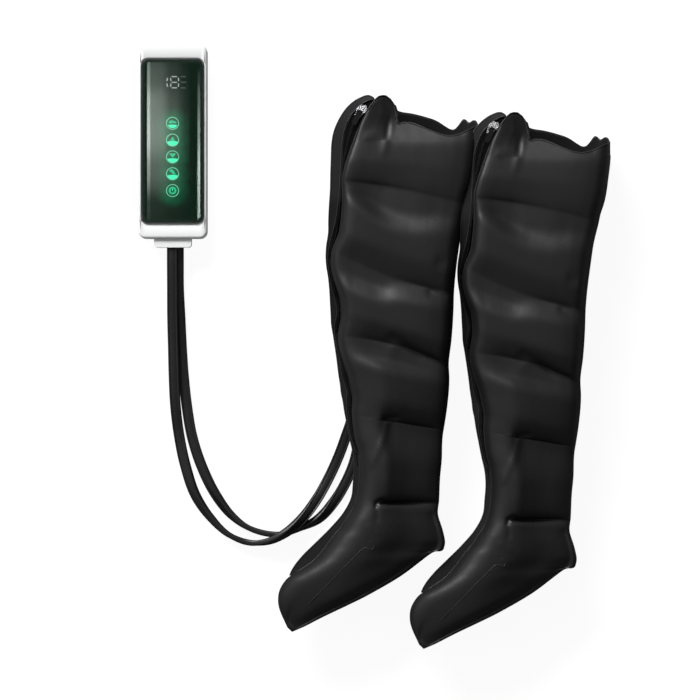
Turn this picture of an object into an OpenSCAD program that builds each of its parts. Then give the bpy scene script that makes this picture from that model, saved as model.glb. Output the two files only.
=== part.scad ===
// Air compression leg and foot massager, laid flat: a hand controller on its
// back, two six-chamber boots on their sides, and two flat hoses between them.
// Millimetres. +X right, +Y towards the controller's top, +Z up from the floor.

/* [Controller] */
// Width of the controller body
ctrl_w = 103; // [100:0.5:112]
// Length of the controller body
ctrl_l = 291; // [288:0.5:310]
// Height of the back shell, up to the parting line
back_h = 32; // [32:0.5:36]
// Height of the front frame above the parting line
frame_h = 9; // [8:0.5:12]
// Corner radius of the body, seen from above
ctrl_r = 11; // [9:0.5:14]
// Rounding of the body's outer edges
edge_r = 4; // [2:0.5:5]
// Wall of the back shell
shell_t = 2.5; // [2:0.1:2.8]
// Radius of a screw post
post_r = 3.5; // [3:0.1:4]
// Radius of a housing screw
screw_r = 1.2; // [1:0.1:1.4]

/* [Glass and display] */
// Width of the glass panel
glass_w = 97; // [95:0.5:98]
// Length of the glass panel
glass_l = 250; // [246:0.5:252]
// Corner radius of the glass panel
glass_r = 13; // [11:0.5:14]
// Height of the glass panel from its seat to its crown
glass_h = 9.5; // [8.5:0.5:12]
// Rounding of the glass panel's upper edge
glass_edge = 7; // [5:0.5:7.5]
// Thickness of the glass
glass_t = 2.5; // [2:0.1:3]
// Height of a display digit
digit_h = 20; // [16:0.5:24]
// Width of a display digit
digit_w = 10.5; // [9:0.5:12]
// Width of a digit's segment
seg_w = 2; // [1.6:0.1:2.4]
// Distance between two touch lights
icon_pitch = 25.2; // [23:0.1:27]
// Outer radius of a touch light's ring
icon_r = 10.5; // [9:0.1:11]
// Width of a touch light's line
icon_line = 1.2; // [1:0.1:1.5]

/* [Pump and valves] */
// Diameter of the pump motor
motor_d = 24; // [22:0.5:26]
// Length of the pump motor
motor_l = 30; // [26:0.5:32]
// Radius of the pump shaft
shaft_r = 1.5; // [1.2:0.1:2]
// Throw of the pump's eccentric
ecc_throw = 1.5; // [1:0.1:2]
// Radius of the pump's eccentric
ecc_r = 5; // [4.5:0.1:5.5]
// Distance between two valves
valve_pitch = 18; // [17:0.5:19]
// Radius of a valve coil
coil_r = 7; // [6.5:0.1:7.5]
// Height of a valve coil
coil_h = 16; // [14:0.5:16.5]
// Radius of a valve plunger
plunger_r = 2.5; // [2:0.1:3]
// Travel of a valve plunger
valve_stroke = 1.5; // [1:0.1:2]

/* [Battery and boards] */
// Diameter of a battery cell
cell_d = 18.4; // [17:0.1:18.6]
// Length of a battery cell
cell_l = 65; // [60:0.5:66]
// Thickness of a circuit board
board_t = 1.6; // [1.2:0.1:2]
// Length of the main board
board_l = 70; // [68:1:72]
// Width of the main board
board_w = 80; // [70:1:82]

/* [Hoses and plug] */
// Width of the flat hose
hose_w = 16; // [14:0.5:17]
// Thickness of the flat hose
hose_t = 8.4; // [7.6:0.2:8.6]
// Width of the plug outside the controller
plug_w = 56; // [54:0.5:60]
// Length of the plug outside the controller
plug_l = 13; // [12:0.5:16]
// Height of the plug outside the controller
plug_h = 26; // [25:0.5:28]
// Corner radius of the plug
plug_r = 5; // [3:0.5:6]
// Width of the plug's nose inside the socket
nose_w = 44; // [42:0.5:46]
// Height of the plug's nose inside the socket
nose_h = 17; // [16.5:0.5:18]
// Length of the plug's nose inside the socket
nose_l = 17; // [14:0.5:19]
// Radius of one air way
port_r = 2.2; // [1.8:0.1:2.2]

/* [Boots] */
// Height of the boot's middle above the floor
mid_z = 60; // [58:0.5:64]
// Rise of the front edge at the mouth
front_rise = 36; // [34:0.5:38]
// Height of a chamber's crown over the middle
crown_up = 58; // [54:0.5:62]
// Share of a chamber's height that is left along a weld
weld_share = 0.45; // [0.4:0.01:0.55]
// Outward swell of a chamber's side
side_swell = 3; // [2:0.5:4]
// Height of the leg space over the middle
leg_up = 14; // [12:0.5:15]
// Depth of the leg space under the middle
leg_down = 20; // [18:0.5:21]
// Thickness of the cuff
cuff_t = 3; // [2.5:0.1:3.5]

/* [Zipper] */
// Thickness of the zipper tape
tape_t = 2; // [1.6:0.1:2.2]
// Width of the zipper tape outside the boot's front edge
tape_out = 6.5; // [6.2:0.1:7]
// Width of the closed teeth
teeth_w = 5; // [4.4:0.1:5.2]
// Height of the teeth on the tape
teeth_h = 2; // [1.6:0.1:2.4]
// Width of the slider
slider_w = 13; // [12:0.5:13]
// Length of the slider
slider_l = 17; // [15:0.5:18]
// Thickness of a slider plate
plate_t = 1.9; // [1.6:0.1:2.1]
// Length of the pull tab
pull_l = 22; // [18:0.5:26]
// Width of the pull tab
pull_w = 8; // [7:0.5:9]
// Thickness of the flap along the zipper
flap_t = 4.4; // [3.6:0.1:4.6]

/* [Hidden] */
$fn = 48;

// Clearance between pieces that are seated on each other
gap = 0.3;
// Radial clearance of a running fit
run = 0.05;
// Overlap of a cut past the face it opens
cut = 1;

// Places of the controller and the two boots on the floor
ctrl_pos = [-302, 307.5, 0];
left_pos = [39, -320.5, 0];
right_pos = [236.5, -346, 0];

// Derived heights in the controller
seat_z = back_h + frame_h - 5;
glass_z = seat_z + gap / 2;
pocket_z = glass_z + glass_h - glass_t;
board_z = seat_z + gap / 2;
floor_z = shell_t;
plug_z = 22;
ctrl_end = ctrl_l / 2;

// Rounded flat outline, centred
module round_rect(w, l, r) {
    square([w - 2 * r, l], center = true);
    square([w, l - 2 * r], center = true);
    for (x = [r - w / 2, w / 2 - r], y = [r - l / 2, l / 2 - r])
        translate([x, y])
            circle(r = r);
}

// Block with rounded corners and one rounded rim, the rim at the bottom
module dished_block(w, l, h, r, f) {
    hull()
        for (x = [r - w / 2, w / 2 - r], y = [r - l / 2, l / 2 - r])
            translate([x, y, 0]) {
                translate([0, 0, f])
                    cylinder(r = r, h = h - f, $fn = 32);
                translate([0, 0, f])
                    rotate_extrude($fn = 32)
                        intersection() {
                            translate([r - f, 0])
                                circle(r = f, $fn = 16);
                            translate([0, -f])
                                square([r, f]);
                        }
            }
}

// Where the six screws stand, from the body's centre
screw_x = ctrl_w / 2 - shell_t - post_r - 0.4;
screw_y = ctrl_end - shell_t - post_r - 4;
screw_spots = [for (x = [-screw_x, screw_x], y = [-screw_y, 0, screw_y]) [x, y]];

nose_z = plug_z;
socket_l = nose_l + 5;
charge_w = 9;
charge_h = 3.2;
charge_l = 8;
main_z = 8;
main_y = ctrl_end - shell_t - 1 - board_l / 2;

module back_shell() {
    color("whitesmoke")
        translate(ctrl_pos) {
            difference() {
                dished_block(ctrl_w, ctrl_l, back_h, ctrl_r, edge_r);
                translate([0, 0, floor_z])
                    linear_extrude(back_h)
                        round_rect(ctrl_w - 2 * shell_t, ctrl_l - 2 * shell_t, ctrl_r - shell_t);
                // mouth for the hose plug
                translate([0, -ctrl_end, nose_z])
                    cube([nose_w + 2 * gap, 4 * shell_t, nose_h + 2 * gap], center = true);
                // mouth for the charging lead
                translate([0, ctrl_end, main_z + board_t + charge_h / 2])
                    cube([charge_w + 2 * gap, 4 * shell_t, charge_h + 2 * gap], center = true);
                for (p = screw_spots)
                    translate([p.x, p.y, -cut])
                        cylinder(r = 2 * screw_r + gap, h = cut + 2);
                for (p = screw_spots)
                    translate([p.x, p.y, -cut])
                        cylinder(r = screw_r + run, h = back_h);
            }
            for (p = screw_spots)
                translate([p.x, p.y, floor_z])
                    difference() {
                        cylinder(r = post_r, h = back_h - floor_z);
                        translate([0, 0, -cut])
                            cylinder(r = screw_r + run, h = back_h + cut);
                    }
            // posts under the main board
            for (x = [-1, 1], y = [-1, 1])
                translate([x * (board_w / 2 - 6), main_y + y * (board_l / 2 - 8), floor_z])
                    cylinder(r = 3, h = main_z - floor_z);
        }
}

module front_frame() {
    color("white")
        translate(ctrl_pos)
            difference() {
                translate([0, 0, back_h + frame_h])
                    mirror([0, 0, 1])
                        dished_block(ctrl_w, ctrl_l, frame_h, ctrl_r, edge_r);
                translate([0, 0, seat_z])
                    linear_extrude(frame_h)
                        round_rect(glass_w + 2 * gap, glass_l + 2 * gap, glass_r);
                translate([0, 0, back_h - cut])
                    linear_extrude(frame_h)
                        round_rect(glass_w - 9, glass_l - 9, glass_r - 5);
                for (p = screw_spots)
                    translate([p.x, p.y, back_h - cut])
                        cylinder(r = screw_r + run, h = cut + seat_z - back_h - 1);
            }
}

module glass_panel() {
    color([0.05, 0.09, 0.08])
        translate(ctrl_pos)
            difference() {
                translate([0, 0, glass_z + glass_h])
                    mirror([0, 0, 1])
                        dished_block(glass_w, glass_l, glass_h, glass_r, glass_edge);
                translate([0, 0, glass_z - cut])
                    linear_extrude(pocket_z - glass_z + cut)
                        round_rect(glass_w - 7, glass_l - 7, glass_r - 4);
            }
}

module display_board() {
    color("darkgreen")
        translate(ctrl_pos + [0, 0, board_z])
            linear_extrude(board_t)
                round_rect(glass_w - 7 - 2 * gap, glass_l - 7 - 2 * gap, glass_r - 4);
}

// The two digits, seen from the front: a one and an eight
digit_y = 88.5;
digit_x = [-5, 5.5];
seg_len = digit_h / 2 - seg_w;
light_h = pocket_z - board_z - board_t - gap;

// One upright segment, pointed at both ends
module segment(l) {
    h = seg_w / 2;
    polygon([[-h, h - l / 2], [0, -l / 2], [h, h - l / 2], [h, l / 2 - h], [0, l / 2], [-h, l / 2 - h]]);
}

// Seven-segment figure: list the lit bars, 0 to 6
module figure(bars) {
    rise = digit_h / 4;
    reach = (digit_w - seg_w) / 2;
    spots = [[0, 2 * rise, 90], [reach, rise, 0], [reach, -rise, 0], [0, -2 * rise, 90],
             [-reach, -rise, 0], [-reach, rise, 0], [0, 0, 90]];
    for (b = bars)
        translate([spots[b][0], spots[b][1]])
            rotate(spots[b][2])
                segment(spots[b][2] == 0 ? 2 * rise - 0.6 : 2 * reach - 0.6);
}

module digit_display() {
    color("lightcyan")
        translate(ctrl_pos + [0, digit_y, board_z + board_t]) {
            translate([3, 0, 0])
                linear_extrude(light_h / 2)
                    square([2 * digit_h, 1.4 * digit_h], center = true);
            translate([0, 0, light_h / 2])
                linear_extrude(light_h / 2) {
                    translate([digit_x[0] - 3, 0])
                        figure([1, 2]);
                    translate([digit_x[1], 0])
                        figure([0, 1, 2, 3, 4, 5, 6]);
                    for (k = [0:2])
                        translate([17, (k - 1) * digit_h / 3])
                            square([3, 2], center = true);
                }
        }
}

icon_y0 = 27;

module ring(r, w) {
    difference() {
        circle(r = r);
        circle(r = r - w);
    }
}

// Simple signs inside the touch lights, number k from the top
module sign(k) {
    w = icon_line;
    if (k == 0)
        for (s = [-3, 0, 3])
            translate([s, 0])
                square([w, 8 - abs(s)], center = true);
    if (k == 1) {
        translate([0, -2])
            square([8, w], center = true);
        for (s = [-1, 1])
            translate([s * 2, 1])
                rotate(s * 45)
                    square([w, 6], center = true);
    }
    if (k == 2) {
        for (s = [-1, 1]) {
            translate([0, s * 4.5])
                square([7, w], center = true);
            rotate(s * 32)
                square([w, 9], center = true);
        }
    }
    if (k == 3) {
        for (s = [-1, 1])
            translate([s * 2.2, 1])
                square([w, 8], center = true);
        translate([0, -3])
            square([4.4 + w, w], center = true);
    }
    if (k == 4) {
        difference() {
            ring(5, w);
            translate([0, 4])
                square([4, 6], center = true);
        }
        translate([0, 3])
            square([w, 5], center = true);
    }
}

module touch_lights() {
    color("mediumseagreen")
        translate(ctrl_pos + [0, 0, board_z + board_t])
            for (k = [0:4])
                translate([0, icon_y0 - k * icon_pitch, 0]) {
                    linear_extrude(light_h)
                        ring(icon_r, icon_line);
                    linear_extrude(light_h)
                        sign(k);
                }
}

module main_board() {
    color("seagreen")
        translate(ctrl_pos + [0, main_y, main_z]) {
            linear_extrude(board_t)
                difference() {
                    square([board_w, board_l], center = true);
                    for (x = [-1, 1])
                        translate([x * screw_x, screw_y - main_y])
                            circle(r = post_r + gap);
                }
            for (c = [[-18, -14, 14], [14, -20, 10], [20, 8, 8]])
                translate([c.x, c.y, board_t])
                    linear_extrude(1.4)
                        square([c.z, c.z], center = true);
        }
}

module charge_port() {
    color("silver")
        translate(ctrl_pos + [0, ctrl_end - charge_l, main_z + board_t])
            difference() {
                translate([-charge_w / 2, 0, 0])
                    cube([charge_w, charge_l, charge_h]);
                translate([-charge_w / 2 + 0.5, 1, 0.5])
                    cube([charge_w - 1, charge_l, charge_h - 1]);
            }
}

cell_y = 0.075 * ctrl_l;
cell_x = cell_d / 2 + gap;
cell_z = floor_z + 2 + cell_d / 2;

module battery_cells() {
    color("steelblue")
        translate(ctrl_pos + [0, cell_y, cell_z])
            for (x = [-cell_x, cell_x])
                translate([x, cell_l / 2, 0])
                    rotate([90, 0, 0]) {
                        cylinder(d = cell_d, h = cell_l - 1.5);
                        translate([0, 0, -1.5])
                            cylinder(d = 6, h = 1.5);
                    }
}

module battery_tray() {
    color("dimgray")
        translate(ctrl_pos + [0, cell_y, floor_z])
            difference() {
                translate([-2 * cell_x - 2, -cell_l / 2 - 3, 0])
                    cube([4 * cell_x + 4, cell_l + 6 + 1.5, 2 + cell_d / 2]);
                for (x = [-cell_x, cell_x])
                    translate([x, cell_l / 2 + 1.5 + gap, cell_z - floor_z])
                        rotate([90, 0, 0])
                            cylinder(r = cell_d / 2 + gap / 2, h = cell_l + 1.5 + 2 * gap);
            }
}

// The pump: a motor turns an eccentric, which rocks the diaphragm
pump_y = -0.172 * ctrl_l;
shaft_z = floor_z + motor_d / 2 + gap;
case_w = 34;
case_l = 26;
case_h = shaft_z + 10;
cam_y = pump_y + 8;
cam_l = 6;
well_r = ecc_r + ecc_throw + 2.5;
head_h = 5.5;

module pump_motor() {
    color("gray")
        translate(ctrl_pos + [0, pump_y, shaft_z])
            difference() {
                rotate([90, 0, 0])
                    cylinder(d = motor_d, h = motor_l);
                translate([0, cut, 0])
                    rotate([90, 0, 0])
                        cylinder(r = shaft_r + run, h = motor_l - 6 + cut);
            }
}

module pump_rotor() {
    color("gold")
        translate(ctrl_pos + [0, cam_y + cam_l + 5, shaft_z]) {
            rotate([90, 0, 0])
                cylinder(r = shaft_r, h = cam_y - pump_y + cam_l + 5 + motor_l - 8);
            translate([0, -5, ecc_throw])
                rotate([90, 0, 0])
                    cylinder(r = ecc_r, h = cam_l);
        }
}

module pump_case() {
    color("slategray")
        translate(ctrl_pos + [0, pump_y, 0])
            difference() {
                union() {
                    translate([-case_w / 2, 0, floor_z])
                        cube([case_w, case_l, case_h - floor_z]);
                    translate([case_w / 2 - 1, 0, floor_z])
                        cube([11, 8, 12]);
                }
                // well for the eccentric and the yoke
                translate([-well_r, cam_y - pump_y - 2, floor_z + 2])
                    cube([2 * well_r, cam_l + 4, case_h]);
                translate([0, case_l - 3, shaft_z])
                    rotate([90, 0, 0])
                        cylinder(r = shaft_r + run, h = case_l);
                translate([tube_x, 8 - gap, tube_z])
                    rotate([90, 0, 0])
                        cylinder(r = port_r, h = 12);
            }
}

yoke_in = ecc_r + ecc_throw + gap;

module pump_diaphragm() {
    color("darkorange")
        translate(ctrl_pos + [0, cam_y, shaft_z])
            rotate([90, 0, 0])
                translate([0, 0, -cam_l]) {
                    difference() {
                        union() {
                            cylinder(r = yoke_in + 1.8, h = cam_l);
                            translate([-4, 0, 0])
                                cube([8, case_h - shaft_z + gap, cam_l]);
                        }
                        translate([0, 0, -cut])
                            cylinder(r = yoke_in, h = cam_l + 2 * cut);
                    }
                }
    color("darkorange")
        translate(ctrl_pos + [0, pump_y + case_l / 2, case_h + gap])
            linear_extrude(2)
                round_rect(case_w - 2, case_l - 2, 3);
}

module pump_head() {
    color("slategray")
        translate(ctrl_pos + [0, pump_y + case_l / 2, case_h + 2 + 2 * gap])
            difference() {
                linear_extrude(head_h)
                    round_rect(case_w, case_l, 3);
                translate([0, 0, -cut])
                    cylinder(r = 8, h = 3 + cut);
            }
}

valve_y = -0.344 * ctrl_l;
valve_l = 22;
valve_w = 3 * valve_pitch + 2 * coil_r + 6;
valve_h = 10;
valve_z = floor_z + valve_h + gap;
tube_x = case_w / 2 + 5;
tube_z = floor_z + 6;

module pump_tube() {
    color("snow")
        translate(ctrl_pos + [tube_x, pump_y - gap, tube_z])
            rotate([90, 0, 0])
                difference() {
                    cylinder(r = port_r + 1, h = pump_y - valve_y - valve_l / 2 - 2 * gap);
                    translate([0, 0, -cut])
                        cylinder(r = port_r, h = 2 * (pump_y - valve_y));
                }
}

// Places of the four valves across the block
function valve_x(k) = (k - 1.5) * valve_pitch;

module valve_block() {
    color("gainsboro")
        translate(ctrl_pos + [0, valve_y, floor_z])
            difference() {
                translate([-valve_w / 2, -valve_l / 2, gap])
                    cube([valve_w, valve_l, valve_h]);
                // gallery from the pump
                translate([tube_x, valve_l / 2 + cut, tube_z - floor_z])
                    rotate([90, 0, 0])
                        cylinder(r = port_r, h = valve_l / 2);
                for (k = [0:3])
                    translate([valve_x(k), -valve_l / 4, tube_z - floor_z])
                        rotate([90, 0, 0])
                            cylinder(r = port_r, h = valve_l);
            }
}

module valve_coils() {
    color("firebrick")
        translate(ctrl_pos + [0, valve_y, valve_z])
            for (k = [0:3])
                translate([valve_x(k), 0, 0])
                    difference() {
                        cylinder(r = coil_r, h = coil_h);
                        translate([0, 0, -cut])
                            cylinder(r = plunger_r + run, h = coil_h + 2 * cut);
                    }
}

module valve_plunger(k) {
    color("silver")
        translate(ctrl_pos + [valve_x(k), valve_y, valve_z + gap])
            cylinder(r = plunger_r, h = coil_h - valve_stroke);
}

socket_end = ctrl_end - shell_t - gap;

module valve_tubes() {
    color("snow")
        translate(ctrl_pos + [0, valve_y - valve_l / 2 - gap, tube_z])
            for (k = [0:3])
                translate([valve_x(k), 0, 0])
                    rotate([90, 0, 0])
                        difference() {
                            cylinder(r = port_r + 1, h = socket_end - socket_l + valve_y - valve_l / 2 - 2 * gap);
                            translate([0, 0, -cut])
                                cylinder(r = port_r, h = ctrl_l);
                        }
}

module hose_socket() {
    color("darkslategray")
        translate(ctrl_pos + [0, -socket_end, 0])
            difference() {
                union() {
                    translate([-nose_w / 2 - 3, 0, floor_z + gap])
                        cube([nose_w + 6, socket_l, back_h - floor_z - 2 * gap]);
                    // shoulders that take the outer air tubes
                    translate([-valve_x(3) - 5, socket_l - 6, floor_z + gap])
                        cube([2 * valve_x(3) + 10, 6, 11]);
                }
                translate([-nose_w / 2 - gap, -cut, nose_z - nose_h / 2 - gap])
                    cube([nose_w + 2 * gap, nose_l - shell_t + cut + 2, nose_h + 2 * gap]);
                for (k = [0:3])
                    translate([valve_x(k), socket_l + cut, tube_z])
                        rotate([90, 0, 0])
                            cylinder(r = port_r, h = 4 + cut);
            }
}

module socket_seal() {
    color("black")
        translate(ctrl_pos + [0, nose_l - ctrl_end + gap, nose_z])
            rotate([-90, 0, 0])
                linear_extrude(1.2)
                    difference() {
                        square([nose_w - 1, nose_h - 1], center = true);
                        for (p = port_spots)
                            translate([p.x, nose_z - p.y])
                                circle(r = port_r);
                    }
}

module housing_screws() {
    color("silver")
        translate(ctrl_pos)
            for (p = screw_spots)
                translate([p.x, p.y, 0.2]) {
                    cylinder(r = 2 * screw_r, h = 1.6);
                    cylinder(r = screw_r, h = seat_z - 4);
                }
}

// Where the two hoses leave the plug: the left one lies over the right one
hose_out = [[-1, 27], [8, 17]];
port_spots = [for (h = hose_out, s = [-1, 1]) [h.x + s * hose_w / 4, h.y]];

module hose_plug() {
    color("white")
        translate(ctrl_pos + [0, -ctrl_end - gap, nose_z])
            difference() {
                union() {
                    translate([0, 0, -plug_h / 2])
                        linear_extrude(plug_h) {
                            translate([-plug_w / 2, plug_r - plug_l])
                                square([plug_w, plug_l - plug_r]);
                            translate([plug_r - plug_w / 2, -plug_l])
                                square([plug_w - 2 * plug_r, plug_l]);
                            for (x = [plug_r - plug_w / 2, plug_w / 2 - plug_r])
                                translate([x, plug_r - plug_l])
                                    circle(r = plug_r);
                        }
                    translate([-nose_w / 2, -1, -nose_h / 2])
                        cube([nose_w, nose_l + gap + 1, nose_h]);
                }
                for (p = port_spots)
                    translate([p.x, nose_l + gap + cut, p.y - nose_z])
                        rotate([90, 0, 0])
                            cylinder(r = port_r, h = nose_l + plug_l / 2);
            }
}

// Routes of the hoses: x, y, lift over the floor, and roll in degrees.
// At 0 the hose lies flat, at 90 it stands on its narrow side.
plug_end = ctrl_pos.y - ctrl_end - gap - plug_l;
left_route = [
    [-303, plug_end, 22.8, 0], [-303, 128, 22, 0], [-303, 88, 19, 0], [-303, 44, 15, 0], [-302, 0, 12, 0],
    [-301, -44, 10.5, 0], [-299, -88, 7, 0], [-294, -132, 0, 0], [-284, -180, 0, 15],
    [-268, -226, 0, 40], [-246, -258, 0, 65], [-218, -284, 0, 85], [-184, -296, 0, 90],
    [-158, -293, 9, 75], [-134, -281, 17.5, 55], [-110, -261, 17, 30], [-88, -233, 7, 10],
    [-69, -200, 0, 0], [-53, -165, 0, 0], [-42, -135, 5, 0], [-34, -110, 10, 0], [-33, -80, 10, 0],
    [-40, -40, 10, 0], [-48, 5, 10, 0], [-54, 50, 10, 0], [-58, 100, 10, 0], [-59, 145, 10, 0],
    [-56, 186, 11, 0], [-53, 214, 15, 0], [-46, 236, 18, 0], [-36, 249, 20, 0], [-25, 252, 20, 0]
];
right_route = [
    [-294, plug_end, 12.8, 0], [-294, 128, 12, 0], [-294, 88, 8, 0], [-292, 44, 3, 0], [-290, 0, 0, 0],
    [-287, -44, 0, 0], [-282, -90, 0, 0], [-274, -136, 0, 0], [-259, -182, 0, 15], [-238, -224, 0, 40],
    [-216, -253, 0, 65], [-193, -271, 0, 85], [-166, -281, 0, 90], [-138, -283, 0, 90],
    [-110, -273, 0, 80], [-84, -260, 0, 50], [-60, -234, 0, 15], [-42, -204, 0, 0], [-29, -172, 0, 0],
    [-23, -140, 0, 0], [-23, -110, 0, 0], [-32, -75, 0, 0], [-41, -35, 0, 0], [-48, 10, 0, 0],
    [-55, 60, 0, 0], [-58, 110, 0, 0], [-58, 155, 0, 0], [-55, 195, 0, 0], [-47, 228, 0, 0],
    [-30, 245, 0, 0], [-8, 248, 0, 0], [30, 243, 0, 0], [75, 234, 0, 0], [115, 227, 0, 0],
    [138, 225, 4, 0], [157, 226, 13, 0], [172.5, 226, 20, 0]
];

// Height of the hose's centre when it rests on the floor at a given roll
function rest_z(roll) = norm([hose_w / 2 * sin(roll), hose_t / 2 * cos(roll)]);
function hose_point(p) = [p[0], p[1], rest_z(p[3]) + p[2] + gap / 3];

// One ring of the hose: a flat oval of hose_sides points, square to the route
hose_sides = 10;
function unit(v) = v / norm(v);
function route_dir(r, i) =
    i == 0 ? [0, -1, 0] :
    i == len(r) - 1 ? [1, 0, 0] :
    unit(hose_point(r[i + 1]) - hose_point(r[i - 1]));
function hose_ring(r, i) =
    let (d = route_dir(r, i), side = unit(cross([0, 0, 1], d)), up = cross(d, side), a = r[i][3])
    [for (j = [0:hose_sides - 1])
        let (t = 18 - j * 360 / hose_sides,
             u = hose_w / 2 * sign(cos(t)) * pow(abs(cos(t)), 0.8),
             v = hose_t / 2 * sign(sin(t)) * pow(abs(sin(t)), 0.7))
        hose_point(r[i]) + side * (u * cos(a) - v * sin(a)) + up * (u * sin(a) + v * cos(a))];

// Closed skin over a list of rings that have as many points each
module loft(rings) {
    n = len(rings);
    m = len(rings[0]);
    sides = [for (i = [0:n - 2], j = [0:m - 1])
        let (a = i * m + j, b = i * m + (j + 1) % m)
        each [[a, b, b + m], [a, b + m, a + m]]];
    first = [for (j = [1:m - 2]) [0, j + 1, j]];
    last = [for (j = [1:m - 2]) [(n - 1) * m, (n - 1) * m + j, (n - 1) * m + j + 1]];
    polyhedron(points = [for (r = rings) each r], faces = concat(sides, first, last));
}

module hose(route) {
    color([0.09, 0.09, 0.09])
        loft([for (i = [0:len(route) - 1]) hose_ring(route, i)]);
}

module hose_left() {
    hose(left_route);
}

module hose_right() {
    hose(right_route);
}

// Ends of the weld lines across the boot, from the mouth to the ankle.
// Front ends lie on the zipper's side, back ends on the calf's side.
weld_front = [[-77, 627], [-87, 579], [-103, 471], [-93, 340], [-72, 219], [-65, 83]];
weld_back = [[114, 630], [99, 543], [84, 400], [75, 294], [68, 201], [58, 87]];
mouth_y = weld_front[0].y;
// Crown of each chamber, as a share of crown_up
crown_share = [0.8, 1, 1, 0.98, 0.93, 0.9];
// Stations along a chamber, from one weld to the next
weld_steps = [0, 0.1, 0.3, 0.5, 0.7, 0.9, 1];
// Stations round the leg, from the zipper over the top and back below
turn_steps = concat([0], [for (a = [12:18:174]) a], [180], [for (a = [186:18:348]) a], [360]);

function lerp(a, b, t) = a * (1 - t) + b * t;
lift_at = [340, 400, 471, 540];
lift_share = [0, 0.25, 0.7, 1];
function front_lift(y) = front_rise * lookup(y, [for (i = [0:3]) [lift_at[i], lift_share[i]]]);
function middle(s, y) = mid_z + front_lift(y) * pow(1 - s, 3);
function across(a) = (1 - cos(a)) / 2;
function bow(a) = abs(sin(a));
function crease(s) = weld_share + (0.85 - weld_share) * pow(abs(2 * s - 1), 4);
// Height of a chamber between its welds, 0 to 1
function puff(s, t) = lerp(crease(s), 1, pow(4 * t * (1 - t), 0.55));
lip = tape_t / 2 + gap;

// Plan of a point, s from front to back and t from weld k to weld k + 1
function leg_plan(k, s, t) =
    lerp(lerp(weld_front[k], weld_back[k], s), lerp(weld_front[k + 1], weld_back[k + 1], s), t)
    - [side_swell * 4 * t * (1 - t) * (1 - 2 * s), 0];

// Height of the outer skin: above the middle for turns under 180, else below
function skin_z(s, a, y, up, down) =
    a <= 180 ? middle(s, y) + lip * (1 - s) + up * pow(bow(a), 1.3)
             : max(0, middle(s, y) - lip * (1 - s) - down * pow(bow(a), 1.3));

function leg_outer(k, a, t) =
    let (s = across(a), p = leg_plan(k, s, t), f = puff(s, t))
    [p.x, p.y, skin_z(s, a, p.y, crown_up * crown_share[k] * f, (mid_z + 0.5) * f)];

wall_share = 0.1;
function inner_z(s, a, y) =
    a <= 180 ? middle(s, y) + lip * (1 - across(a)) + leg_up * pow(bow(a), 0.8)
             : middle(s, y) - lip * (1 - across(a)) - leg_down * pow(bow(a), 0.8);
function leg_inner(k, a, t) =
    let (s = lerp(wall_share, 1 - wall_share, across(a)), p = leg_plan(k, s, t))
    [p.x, p.y, inner_z(s, a, p.y)];

// One inflated chamber: a cuff round the leg, open at the zipper
module chamber(k) {
    color([0.17, 0.17, 0.18])
        loft([for (a = turn_steps)
            concat([leg_inner(k, a, 0), leg_inner(k, a, 1)], [for (t = weld_steps) leg_outer(k, a, 1 - t)])]);
}

// Outline of the foot from the ankle to the toes: instep side, then sole side
foot_top = [[-65, 83], [-80, 68], [-105, 45], [-134, 14], [-162, -16], [-178, -40], [-182, -66]];
foot_sole = [[58, 87], [67, 22], [30, -4], [-18, -37], [-75, -67], [-126, -92], [-161, -107]];
// Height of the foot at these stations, as a share of the full height
foot_share = [weld_share, 0.86, 1, 0.96, 0.82, 0.55, 0.16];
foot_steps = [0, 0.35, 1, 2, 3, 4, 5, 6];

function along(list, t) =
    let (i = min(floor(t), len(list) - 2))
    lerp(list[i], list[i + 1], t - i);
function foot_plan(s, t) = lerp(along(foot_top, t), along(foot_sole, t), s);
function foot_outer(a, t) =
    let (s = across(a), p = foot_plan(s, t), f = max(along(foot_share, t), t == 0 ? crease(s) : 0))
    [p.x, p.y, skin_z(s, a, p.y, crown_up * crown_share[5] * f, (mid_z + 0.5) * f)];
function foot_inner(a, t) =
    let (p = foot_plan(lerp(wall_share, 1 - wall_share, across(a)), t), f = 1 - t / 8)
    [p.x, p.y, a <= 180 ? mid_z + lip * (1 - across(a)) + leg_up * f * pow(bow(a), 0.8)
                        : mid_z - lip * (1 - across(a)) - leg_down * f * pow(bow(a), 0.8)];

// The foot chamber: a pouch open at the ankle and closed at the toes
module foot_chamber() {
    color([0.17, 0.17, 0.18])
        loft(concat(
            [for (t = [4.4, 3.4, 2.2, 1, 0]) [for (a = turn_steps) foot_inner(a, t)]],
            [for (t = foot_steps) [for (a = turn_steps) foot_outer(a, t)]]));
}

// Rim of the mouth over the upper and the lower panel, by place across
rim_up = [[0, 670], [0.12, 697], [0.25, 664], [0.5, 650], [0.75, 638], [1, 652]];
rim_down = [[0, 684], [0.3, 673], [0.6, 664], [0.8, 650], [0.9, 660], [1, 652]];
cuff_front_up = [[mouth_y, -71], [643, -63], [658, -56], [670, -50]];
cuff_front_down = [[mouth_y, -87], [651, -80], [672, -72], [684, -58]];

function cuff_point(a, t, skin) =
    let (s = across(a),
         up = a <= 180,
         y0 = lerp(weld_front[0].y, weld_back[0].y, s),
         y = lerp(y0, lookup(s, up ? rim_up : rim_down), t),
         xf = lookup(y, up ? cuff_front_up : cuff_front_down),
         x = lerp(xf, weld_back[0].x, s),
         e = pow(max(0, -cos(a)), 3),
         h = up ? crown_up * crown_share[0] : mid_z,
         f = (weld_share + 0.06 * t) * h - cuff_t,
         base = up ? lip * (1 - s) : 6 * (1 - s))
    [x + skin * cuff_t * e, y,
     middle(s, mouth_y) + (up ? 1 : -1) * (base + f * pow(bow(a), 1.3) + skin * cuff_t * (1 - e))];

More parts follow.
